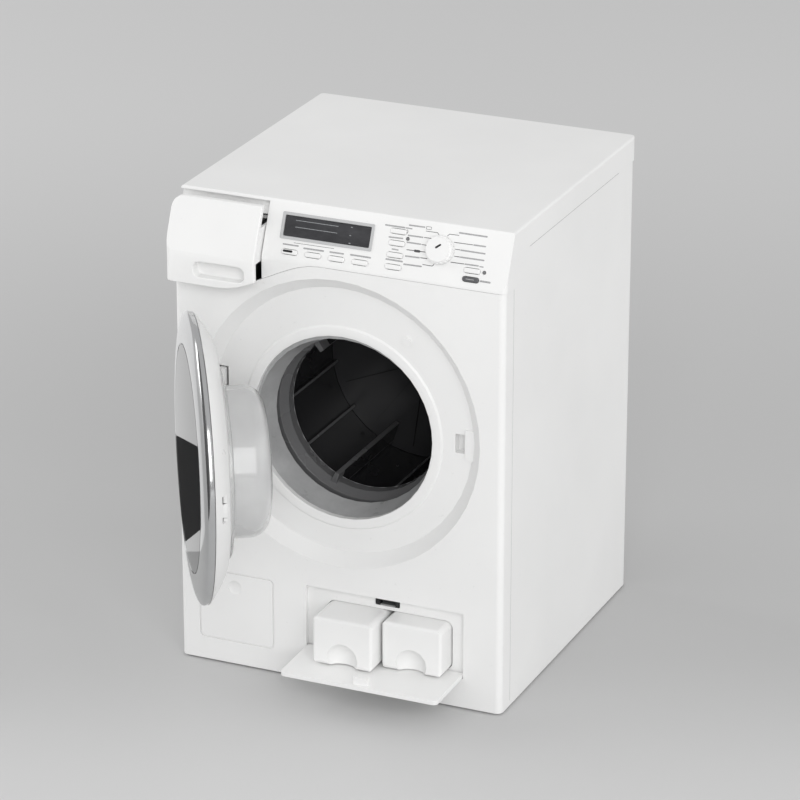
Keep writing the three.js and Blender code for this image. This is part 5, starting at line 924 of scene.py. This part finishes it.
class WASHER_OT_body(bpy.types.Operator):
    """Cabinet shell, front panel with the porthole dish, top cover with its fascia, and grey
    lines painted along the seams on the right side as painted shade"""

    bl_idname = "washer.body"
    bl_label = "Body"

    def execute(self, context):
        finish_nodes(["cabinet_shell", "front_panel", "top_cover"], 0.0)
        new_piece("side_seam_shade", seam_parts(), material_for("seam"), "cabinet")
        return {"FINISHED"}


class WASHER_OT_underside(bpy.types.Operator):
    """Base plate, battery door, feet and case screws"""

    bl_idname = "washer.underside"
    bl_label = "Underside"

    def execute(self, context):
        numbers = range(1, 5)
        finish_nodes(["base_plate", "battery_door"], 0.0)
        finish_nodes(["foot_%d" % i for i in numbers])
        finish_nodes(["case_screw_%d" % i for i in numbers], 0.0)
        return {"FINISHED"}


class WASHER_OT_inner_parts(bpy.types.Operator):
    """Parts inside the cabinet: tub, drive, sleeve, pocket, board, batteries and shaft"""

    bl_idname = "washer.inner_parts"
    bl_label = "Inner parts"

    def execute(self, context):
        finish_nodes(
            [
                "tub",
                "motor_plate",
                "drive_motor",
                "drum_shaft",
                "drum_gear",
                "motor_pinion",
                "drawer_sleeve",
                "pocket_housing",
                "circuit_board",
                "battery_box",
                "battery_1",
                "battery_2",
            ],
            0.0,
        )
        return {"FINISHED"}


# Edge radii of the display's frame and screen
FRAME_EDGE = 0.2
LENS_EDGE = 0.15


class WASHER_OT_display(bpy.types.Operator):
    """Silver display frame, dark screen and the pale lines on it"""

    bl_idname = "washer.display"
    bl_label = "Display"

    def execute(self, context):
        finished_node("display_frame", material_for("display_silver"), edge=FRAME_EDGE)
        finished_node("display_lens", material_for("screen"), edge=LENS_EDGE)
        parts = [bar_parts(*line, DISPLAY_PRINT) for line in DISPLAY_LINES]
        new_piece("display_marks", joined(*parts), material_for("display_light"), "cabinet")
        return {"FINISHED"}


class WASHER_OT_print(bpy.types.Operator):
    """Label bars printed on the fascia, and the leader lines to the knob"""

    bl_idname = "washer.print"
    bl_label = "Printed lines"

    def execute(self, context):
        bars = [bar_parts(*line, FACE_PRINT) for line in LABEL_BARS]
        new_piece("print_words", joined(*bars), material_for("pale_ink"), "cabinet")
        lines = [bar_parts(*line, FACE_PRINT) for line in LEADER_LINES]
        new_piece("print_lines", joined(*lines), material_for("ink"), "cabinet")
        return {"FINISHED"}


# Push buttons: places as x and drop on the fascia, then sizes
ROW_X, ROW_PITCH, ROW_DROP = -26.7, 12.95, 25.9
COLUMN_X, COLUMN_PITCH, COLUMN_DROP = 30.3, 6.0, 7.6
ROW_BUTTONS = [("row_button_%d" % (i + 1), ROW_X + ROW_PITCH * i, ROW_DROP) for i in range(4)]
COLUMN_BUTTONS = [
    ("option_button_%d" % (i + 1), COLUMN_X, COLUMN_DROP + COLUMN_PITCH * i) for i in range(4)
]
SINGLE_BUTTONS = [("start_button", 72.4, 21.6), ("power_button", 72.4, 26.0)]
BUTTON_WIDTH = 8.8
BUTTON_TALL = 2.5
BUTTON_CORNER = 1.1
BUTTON_ROOT = -3.6
BUTTON_PROUD = 0.7
BUTTON_CROWN = 0.06
CROWN_SHARES = (0.8, 0.55, 0.3, 0.1)

# The dark bar on the first button and the pale dash on the power button, and their two levels
# about the height of a button's face
BUTTON_FACE = BUTTON_PROUD - 0.03
FIRST_BAR = (-29.6, 25.6, -25.4, 25.6, 1.15)
FIRST_BAR_LEVELS = (BUTTON_FACE - 0.1, BUTTON_FACE + 0.06)
POWER_DASH = (70.2, 26.0, 74.2, 26.0, 0.4)
POWER_DASH_LEVELS = (BUTTON_FACE - 0.1, BUTTON_FACE + 0.05)


def button_parts(x, drop):
    """A push button: a pill with a rounded edge, and a face that rises to its middle by the
    square of the distance."""
    half_width, half_tall = BUTTON_WIDTH / 2, BUTTON_TALL / 2
    outline = rounded_box(
        x - half_width, x + half_width, -drop - half_tall, -drop + half_tall, BUTTON_CORNER, 9
    )
    face = BUTTON_PROUD - BUTTON_CROWN
    rings = slab(outline, BUTTON_ROOT, face, 0.0, shape().button_edge, 6)
    centre = np.array([x, -drop])
    shares = np.array(CROWN_SHARES)[:, None, None]
    flat = centre + (rings[-1][None, :, :2] - centre) * shares
    height = np.broadcast_to(BUTTON_PROUD - BUTTON_CROWN * shares**2, flat.shape[:2] + (1,))
    crown = np.concatenate([flat, height], -1)
    points, faces = ring_parts(np.concatenate([rings, crown]))
    return fascia_place(points), faces


class WASHER_OT_buttons(bpy.types.Operator):
    """Ten push buttons, the dark bar on the first one, the dash on the power button and two
    small lamps"""

    bl_idname = "washer.buttons"
    bl_label = "Push buttons"

    def execute(self, context):
        for name, x, drop in ROW_BUTTONS + COLUMN_BUTTONS + SINGLE_BUTTONS:
            slot = node_slot(name)
            new_piece(
                name + "_cap", button_parts(x, drop), material_for(slot), name, [name]
            )
        bar = bar_parts(*FIRST_BAR, FIRST_BAR_LEVELS)
        new_piece("row_button_1_bar", bar, material_for("black_plastic"), "row_button_1")
        dash = bar_parts(*POWER_DASH, POWER_DASH_LEVELS)
        new_piece("power_button_dash", dash, material_for("pale_ink"), "power_button")
        for node in ("option_lamp", "start_lamp"):
            finished_node(node, material_for("lamp_lens"))
        return {"FINISHED"}


# Programme knob: its axis on the fascia, its fluted rim, and its face
KNOB_X = 54.3
KNOB_DROP = 13.7
KNOB_RADIUS = 7.2
KNOB_FLUTES = 20
KNOB_FLUTE_DEPTH = 0.34
KNOB_STEPS = 360
KNOB_CREASE = 28.0
KNOB_FACE = 6.2
KNOB_TOP = 4.6
KNOB_DOME = 0.05
DOME_SHARES = (0.97, 0.9, 0.75, 0.5, 0.25, 0.0)

# The rim from its foot up: share of the radius, and height over the fascia
KNOB_SIDES = [(0.9, 0.4), (1.0, 0.4), (1.0, 0.6), (0.992, 2.4), (0.98, 3.5)]
SHOULDER_RISE = 1.05

# The dark pointer on the knob's face
POINTER_UP = 1.6
POINTER_REACH = 1.3
POINTER_LEAN = math.radians(38.0)
POINTER_WIDTH = 0.95
POINTER_LEVELS = (4.3, 4.66)


def knob_parts():
    """The knob as rings over its axis. The rim's radius is less by the flute depth times the
    square of a raised cosine of the turn. Over the rim a quarter ellipse leads in to the
    face, which rises to its middle by the square of the distance."""
    angle = np.linspace(0, 2 * np.pi, KNOB_STEPS, endpoint=False)
    flute = 0.5 - 0.5 * np.cos(angle * KNOB_FLUTES)
    rim = KNOB_RADIUS - KNOB_FLUTE_DEPTH * flute**2
    face = KNOB_FACE + 0.0 * angle
    sides = [(rim * share, height) for share, height in KNOB_SIDES]
    edge, shoulder_low = sides[-1]
    shoulder = [
        (edge + (face - edge) * math.sin(t), shoulder_low + SHOULDER_RISE * (1 - math.cos(t)))
        for t in np.linspace(0, np.pi / 2, 7)[1:]
    ]
    dome = [(face * share, KNOB_TOP - KNOB_DOME * share * share) for share in DOME_SHARES]
    foot = [(0.0 * angle, KNOB_SIDES[0][1])]
    rings = np.stack(
        [
            np.stack([radius * np.cos(angle), radius * np.sin(angle), 0.0 * angle + height], -1)
            for radius, height in foot + sides + shoulder + dome
        ]
    )
    points = rings.reshape(-1, 3) + np.array([KNOB_X, -KNOB_DROP, 0.0])
    return fascia_place(points), grid_faces(len(rings), KNOB_STEPS, False, True)


def pointer_parts():
    """The pointer: a bar with round ends that leans over to the right of straight up."""
    x, drop = KNOB_X, KNOB_DROP - POINTER_UP
    across = POINTER_REACH * math.cos(POINTER_LEAN)
    down = POINTER_REACH * math.sin(POINTER_LEAN)
    return bar_parts(
        x - across, drop + down, x + across, drop - down, POINTER_WIDTH, POINTER_LEVELS
    )


class WASHER_OT_knob(bpy.types.Operator):
    """Programme knob with a fluted rim, a domed face and a dark pointer"""

    bl_idname = "washer.knob"
    bl_label = "Programme knob"

    def execute(self, context):
        node = "programme_knob"
        slot = node_slot(node)
        look = material_for(slot)
        new_piece("knob_cap", knob_parts(), look, "knob", [node], KNOB_CREASE)
        new_piece("knob_pointer", pointer_parts(), material_for("black_plastic"), "knob")
        return {"FINISHED"}


# The edge radius of the drawer's front
FRONT_EDGE = 0.5


class WASHER_OT_drawer(bpy.types.Operator):
    """Detergent drawer front with its grip, and the tray behind it"""

    bl_idname = "washer.drawer"
    bl_label = "Detergent drawer"

    def execute(self, context):
        finish_nodes(["drawer_front"], FRONT_EDGE)
        finish_nodes(["drawer_tray"])
        return {"FINISHED"}


# The porthole door's outer radius, its window's radius and the crease angle in degrees
DOOR_RADIUS = 73.9
DOOR_CREASE = 40.0
GLASS_RADIUS = 57.6

# The ring's section: depths behind the door's front, and steps in from the two radii
RING_CROWN = 3.7
RING_BACK = 5.8
RING_SHELF = 4.3
RING_SEAT = 1.7
RING_MOUTH = 0.1
RING_LIP = 0.4
RING_RIM = 2.6
RING_LEDGE = 2.4


def ring_profile():
    """The door ring's section: an elliptic crown from the window out to the rim, a short
    rounded rim, and the ledge behind that holds the window."""
    turn = np.linspace(0, np.pi / 2, 28)
    lip = GLASS_RADIUS + RING_LIP
    crown = np.stack(
        [
            lip + (DOOR_RADIUS - GLASS_RADIUS - RING_LIP) * np.sin(turn),
            DOOR_FRONT + RING_CROWN * (1 - np.cos(turn)),
        ],
        1,
    )
    rim, ledge = DOOR_RADIUS - RING_RIM, GLASS_RADIUS - RING_LEDGE
    back = softened(
        [
            (DOOR_RADIUS, DOOR_FRONT + RING_BACK),
            (rim, DOOR_FRONT + RING_BACK),
            (rim, DOOR_FRONT + RING_SHELF),
            (ledge, DOOR_FRONT + RING_SHELF),
            (ledge, DOOR_FRONT + RING_SEAT),
            (GLASS_RADIUS, DOOR_FRONT + RING_SEAT),
            (GLASS_RADIUS, DOOR_FRONT + RING_MOUTH),
        ],
        [0.5, 0.3, 0.3, 0.2, 0.2, 0.2, 0.35],
    )
    return np.concatenate([crown, back])


# The window's section: its gap to the ring, its thickness and dome, and its two rim steps
WINDOW_GAP = 0.2
WINDOW_THICK = 1.5
WINDOW_DOME = 0.6
WINDOW_EDGE = 0.4
WINDOW_BACK = 2.0


def window_profile():
    """The window's section from the middle of its back, round its rim, and over a shallow
    dome whose rise falls off with the square of the radius."""
    rim, back = GLASS_RADIUS - WINDOW_GAP, DOOR_FRONT + WINDOW_THICK
    radius = np.linspace(rim - WINDOW_EDGE, 0, 26)
    dome = np.stack([radius, DOOR_FRONT - WINDOW_DOME * (1 - (radius / rim) ** 2)], 1)
    edge = softened([(rim - WINDOW_BACK, back), (rim, back), (rim, DOOR_FRONT)], [0.0, 0.2, 0.35])
    return np.concatenate([[(0.0, back)], edge, dome])


# The bowl: its outer radius at the door and at its end, its depth and wall, and its end's
# crown with the share of the radius where that begins
BOWL_RADIUS = 38.4
BOWL_END = 28.5
BOWL_DEPTH = 24.0
BOWL_WALL = 1.6
BOWL_CROWN = 1.0
CROWN_START = 0.95

# Where the bowl is held: the door's wall, the flange inside it and the collar on its face
DOOR_WALL = 2.2
FLANGE_RADIUS = 42.4
FLANGE_THICK = 1.5
COLLAR_RADIUS = 48.8
COLLAR_GAP = 0.05
COLLAR_RIM = 3.1
COLLAR_HEEL = 3.9


def bowl_side(inset, steps=20):
    """The bowl's wall moved inwards: from the door's face in a quarter ellipse to a slightly
    crowned end."""
    corner = BOWL_RADIUS - inset - BOWL_END
    end = DOOR_FACE + BOWL_DEPTH - inset
    turn = np.linspace(0, np.pi / 2, steps)
    curve = np.stack([BOWL_END + corner * np.cos(turn), end - corner * (1 - np.sin(turn))], 1)
    inner = np.linspace(BOWL_END * CROWN_START, 0, 14)
    crown = np.stack([inner, end + BOWL_CROWN * (1 - (inner / BOWL_END) ** 2)], 1)
    return np.concatenate([curve, crown])


def bowl_profile():
    """The clear bowl's section: inner wall out from the axis, the flange inside the frame, a
    broad collar on the frame's face, and the outer wall back to the axis."""
    plate = DOOR_FACE - DOOR_WALL
    flange = softened(
        [
            (BOWL_RADIUS - BOWL_WALL, plate - FLANGE_THICK),
            (FLANGE_RADIUS, plate - FLANGE_THICK),
            (FLANGE_RADIUS, plate),
            (BOWL_RADIUS, plate),
        ],
        [0.5, 0.3, 0.3, 0.2],
    )
    collar = softened(
        [
            (BOWL_RADIUS, DOOR_FACE + COLLAR_GAP),
            (COLLAR_RADIUS, DOOR_FACE + COLLAR_GAP),
            (COLLAR_RADIUS, DOOR_FACE + COLLAR_RIM),
            (BOWL_RADIUS, DOOR_FACE + COLLAR_HEEL),
        ],
        [0.2, 0.3, 1.2, 1.5],
        7,
    )
    return np.concatenate([bowl_side(BOWL_WALL)[::-1], flange, collar, bowl_side(0.0)])


# The catch's section (x, y) inside the frame: a stub that fills its hole up to the frame's slope
CATCH_STUB = [
    (63.55, -92.1),
    (66.55, -92.1),
    (66.55, -89.9),
    (64.2, -89.9),
    (64.0, -87.4),
    (63.55, -87.1),
]
CATCH_FLANGE = [(62.05, -92.1), (66.55, -92.1), (66.55, -90.5), (62.05, -90.5)]
CATCH_Z = 144.9
STUB_HALF = 3.8
FLANGE_HALF = 5.3
CATCH_CORNER = 0.12
CATCH_EDGE = 0.15


def catch_parts():
    """The catch as it shows on the open door: its flange inside and a stub in its hole, each
    a section in x and y carried up from below its middle height to above it."""
    pieces = []
    for section, half in ((CATCH_STUB, STUB_HALF), (CATCH_FLANGE, FLANGE_HALF)):
        outline = softened(section, CATCH_CORNER, 3)
        rings = slab(outline, CATCH_Z - half, CATCH_Z + half, CATCH_EDGE, CATCH_EDGE, 3)
        pieces.append(ring_parts(door_place(rings)))
    return joined(*pieces)


class WASHER_OT_door(bpy.types.Operator):
    """Porthole door: silver ring, dark window, white frame, clear bowl and catch"""

    bl_idname = "washer.door"
    bl_label = "Porthole door"

    def execute(self, context):
        turns = shape().turns
        for name, node, profile, centre, closed in (
            ("ring_finished", "door_ring", ring_profile(), DOOR_Z, True),
            ("window_finished", "door_glass", window_profile(), DOOR_Z, False),
            ("bowl_finished", "door_bowl", bowl_profile(), BOWL_Z, False),
        ):
            points, faces = turned_parts(turned(profile, (0.0, centre), turns), closed)
            slot = node_slot(node)
            look = material_for("bowl" if node == "door_bowl" else slot)
            new_piece(name, (door_place(points), faces), look, "door", [node], DOOR_CREASE)
        finish_nodes(["door_frame"], 0.0)
        slot = node_slot("door_catch")
        new_piece(
            "catch_finished", catch_parts(), material_for(slot), "door", ["door_catch"]
        )
        return {"FINISHED"}


class WASHER_OT_hinge(bpy.types.Operator):
    """Two curved hinge arms, their pin and the bracket in the corner"""

    bl_idname = "washer.hinge"
    bl_label = "Door hinge"

    def execute(self, context):
        finish_nodes(["hinge_arm_upper", "hinge_arm_lower", "hinge_bracket", "hinge_pin"], 0.0)
        return {"FINISHED"}


# A paler ring at the drum's mouth, painted light on its lit lip: two radii, two depths and its
# edge, then the drum's edge
MOUTH_RADII = (43.55, 44.2)
MOUTH_DEPTHS = (-49.95, -49.35)
MOUTH_EDGE = 0.2
DRUM_EDGE = 0.2


class WASHER_OT_drum(bpy.types.Operator):
    """Gasket, drum with its ribs and baffles, and the drum's back"""

    bl_idname = "washer.drum"
    bl_label = "Drum"

    def execute(self, context):
        finished_node("gasket_ring", material_for("gasket"))
        finished_node("drum_shell", material_for("drum_wall"), edge=DRUM_EDGE)
        finish_nodes(["drum_back"], 0.0)
        # A thin pale ring at the mouth, as painted light on the drum's lit lip
        section = rounded_box(*MOUTH_RADII, *MOUTH_DEPTHS, MOUTH_EDGE, 4)
        mouth = turned_parts(turned(section, (0.0, DRUM_Z), shape().turns), True)
        new_piece("drum_mouth_painted_light", mouth, material_for("drum_mouth_painted_light"), "drum")
        return {"FINISHED"}


# The containers' edge radius, and the crease angle in degrees
CONTAINER_EDGE = 1.6
CONTAINER_CREASE = 40.0


class WASHER_OT_containers(bpy.types.Operator):
    """Two pull-out containers with finger notches"""

    bl_idname = "washer.containers"
    bl_label = "Containers"

    def execute(self, context):
        finish_nodes(["container_left", "container_right"], CONTAINER_EDGE, CONTAINER_CREASE)
        return {"FINISHED"}


class WASHER_OT_flap(bpy.types.Operator):
    """Service flap and its black latch"""

    bl_idname = "washer.flap"
    bl_label = "Service flap"

    def execute(self, context):
        finish_nodes(["service_flap", "flap_latch"])
        return {"FINISHED"}


# Studio


def camera_back():
    """The direction from the toy back to the camera."""
    level = math.cos(CAMERA_ELEVATION)
    across, away = math.sin(CAMERA_AZIMUTH), -math.cos(CAMERA_AZIMUTH)
    return Vector((across * level, away * level, math.sin(CAMERA_ELEVATION)))


# Soft lamps, all of one size and facing one point: name, place in metres, power in watts
LAMP_TARGET = (0.0, 0.0, 0.12)
LAMP_SIZE = (1.8, 1.8)
LAMPS = [
    ("key_lamp", (-1.1, -2.2, 1.7), 4.0),
    ("fill_lamp", (1.4, -2.0, 1.2), 32.0),
    ("right_lamp", (2.4, 0.2, 1.0), 11.0),
    ("left_lamp", (-2.4, -0.3, 1.0), 24.0),
]

# A weak lamp by the door that only polished surfaces show: place, target, size and power
WINDOW_LIGHT = ((-0.178, 0.06, 0.115), (-0.05, -0.095, 0.19), (0.2, 0.2), 0.04)

# The floor's rings in metres, outermost first, and the points on each
FLOOR_RADII = (8.0, 4.0, 2.0, 1.0, 0.5, 0.0)
FLOOR_POINTS = 96

# Points along a card's side
CARD_POINTS = 9

# The camera's sensor in millimetres and its clipping distances in metres
SENSOR_WIDTH = 36.0
CLIP_RANGE = (0.05, 50.0)

# Dark cards that only polished surfaces show: four corners each, in cabinet millimetres
CARDS = {
    "window_card": [
        (-113.1, -55.6, 111.6),
        (-135.8, -77.8, 103.8),
        (-124.8, -90.3, 64.8),
        (-99.5, -75.8, 54.7),
    ],
    "ring_card": [
        (-190.0, -1400.0, 900.0),
        (-190.0, -60.0, 700.0),
        (-190.0, -245.0, 60.0),
        (-190.0, -1400.0, 5.0),
    ],
    "rim_card": [
        (13.4, -238.6, 254.0),
        (-8.4, -248.6, 254.0),
        (11.2, -291.2, 143.4),
        (33.0, -281.2, 143.4),
    ],
}


def add_card(name, corners):
    """A dark flat card: a grid between its four corners, each point their mix by its two
    shares."""
    a, b, c, d = world(corners)
    u = np.linspace(0, 1, CARD_POINTS)[:, None, None]
    v = np.linspace(0, 1, CARD_POINTS)[None, :, None]
    grid = (1 - u) * ((1 - v) * a + v * b) + u * ((1 - v) * d + v * c)
    faces = grid_faces(CARD_POINTS, CARD_POINTS, False, False)
    mesh = bpy.data.meshes.new(name)
    mesh.from_pydata(grid.reshape(-1, 3).tolist(), [], faces)
    mesh.materials.append(material_for("card"))
    card = bpy.data.objects.new(name, mesh)
    bpy.context.scene.collection.objects.link(card)
    card.visible_camera = card.visible_diffuse = card.visible_shadow = False
    card.visible_transmission = card.visible_volume_scatter = False


def add_lamp(name, place, target, size, power):
    """A square soft lamp that faces a point."""
    data = bpy.data.lights.new(name, "AREA")
    data.shape = "RECTANGLE"
    data.size, data.size_y = size
    data.energy = power
    lamp = bpy.data.objects.new(name, data)
    bpy.context.scene.collection.objects.link(lamp)
    lamp.location = place
    aim = Vector(target) - Vector(place)
    lamp.rotation_mode = "QUATERNION"
    lamp.rotation_quaternion = aim.to_track_quat("-Z", "Y")
    lamp.visible_camera = False
    return lamp


def add_floor():
    """The floor: a disc of rings about the origin, a cosine and a sine of the turn each."""
    angle = np.linspace(0, 2 * np.pi, FLOOR_POINTS, endpoint=False)
    radius = np.array(FLOOR_RADII)[:, None]
    disc = np.stack([radius * np.cos(angle), radius * np.sin(angle), 0 * radius * angle], -1)
    faces = grid_faces(len(radius), FLOOR_POINTS, False, True)
    mesh = bpy.data.meshes.new("studio_floor")
    mesh.from_pydata(disc.reshape(-1, 3).tolist(), [], faces)
    tidy(mesh, NEW_CREASE)
    if mesh.polygons[0].normal.z < 0:
        mesh.flip_normals()
    mesh.materials.append(paper_floor("studio_paper", finish().floor))
    floor = bpy.data.objects.new("studio_floor", mesh)
    bpy.context.scene.collection.objects.link(floor)


def light_room(scene, strength):
    """An even white light from all round."""
    room = bpy.data.worlds.new("studio_room")
    scene.world = room
    room.use_nodes = True
    tree = room.node_tree
    tree.nodes.clear()
    glow = {"Color": (1.0, 1.0, 1.0, 1.0), "Strength": strength}
    shader = add_node(tree, "ShaderNodeBackground", glow)
    add_node(tree, "ShaderNodeOutputWorld", {"Surface": shader.outputs["Background"]})


def add_camera(scene, lens):
    """The camera at the photo's place and angle."""
    data = bpy.data.cameras.new("camera")
    data.lens = lens
    data.sensor_width = SENSOR_WIDTH
    data.clip_start, data.clip_end = CLIP_RANGE
    camera = bpy.data.objects.new("camera", data)
    scene.collection.objects.link(camera)
    camera.location = world(CAMERA_PLACE)
    camera.rotation_mode = "QUATERNION"
    camera.rotation_quaternion = (-camera_back()).to_track_quat("-Z", "Y")
    return camera


class WASHER_OT_stage(bpy.types.Operator):
    """Studio floor, soft lamps, dark cards, room light and the camera"""

    bl_idname = "washer.stage"
    bl_label = "Studio"

    def execute(self, context):
        studio = context.scene.washer_studio
        add_floor()
        for name, place, power in LAMPS:
            add_lamp(name, place, LAMP_TARGET, LAMP_SIZE, power * studio.lamps)
        window_light = add_lamp("window_light", *WINDOW_LIGHT)
        window_light.visible_diffuse = False
        for name, corners in CARDS.items():
            add_card(name, corners)
        light_room(context.scene, studio.room)
        context.scene.camera = add_camera(context.scene, studio.lens)
        context.scene.view_settings.view_transform = "Standard"
        return {"FINISHED"}


STEPS = [
    WASHER_OT_stage,
    WASHER_OT_body,
    WASHER_OT_underside,
    WASHER_OT_inner_parts,
    WASHER_OT_display,
    WASHER_OT_print,
    WASHER_OT_buttons,
    WASHER_OT_knob,
    WASHER_OT_drawer,
    WASHER_OT_door,
    WASHER_OT_hinge,
    WASHER_OT_drum,
    WASHER_OT_containers,
    WASHER_OT_flap,
]


class WASHER_PT_panel(bpy.types.Panel):
    """Settings and steps of the toy washing machine"""

    bl_idname = "WASHER_PT_panel"
    bl_label = "Toy washing machine"
    bl_space_type = "VIEW_3D"
    bl_region_type = "UI"
    bl_category = "Washer"

    def draw(self, context):
        scene = context.scene
        for group in (scene.washer_finish, scene.washer_shape, scene.washer_studio):
            box = self.layout.box()
            for name in group.__annotations__:
                box.prop(group, name)
        for step in STEPS:
            self.layout.operator(step.bl_idname)


GROUPS = {
    "washer_finish": WasherFinish,
    "washer_shape": WasherShape,
    "washer_studio": WasherStudio,
}


def register():
    """Registers every class and hangs the settings on the scene."""
    for made in [*GROUPS.values(), *STEPS, WASHER_PT_panel]:
        bpy.utils.register_class(made)
    for name, group in GROUPS.items():
        setattr(bpy.types.Scene, name, bpy.props.PointerProperty(type=group))


def unregister():
    """Takes back what register() set up."""
    for name in GROUPS:
        delattr(bpy.types.Scene, name)
    for made in reversed([*GROUPS.values(), *STEPS, WASHER_PT_panel]):
        bpy.utils.unregister_class(made)


def main():
    """Registers the classes and makes every piece in order."""
    register()
    for step in STEPS:
        group, name = step.bl_idname.split(".")
        getattr(getattr(bpy.ops, group), name)()


if __name__ == "__main__":
    main()
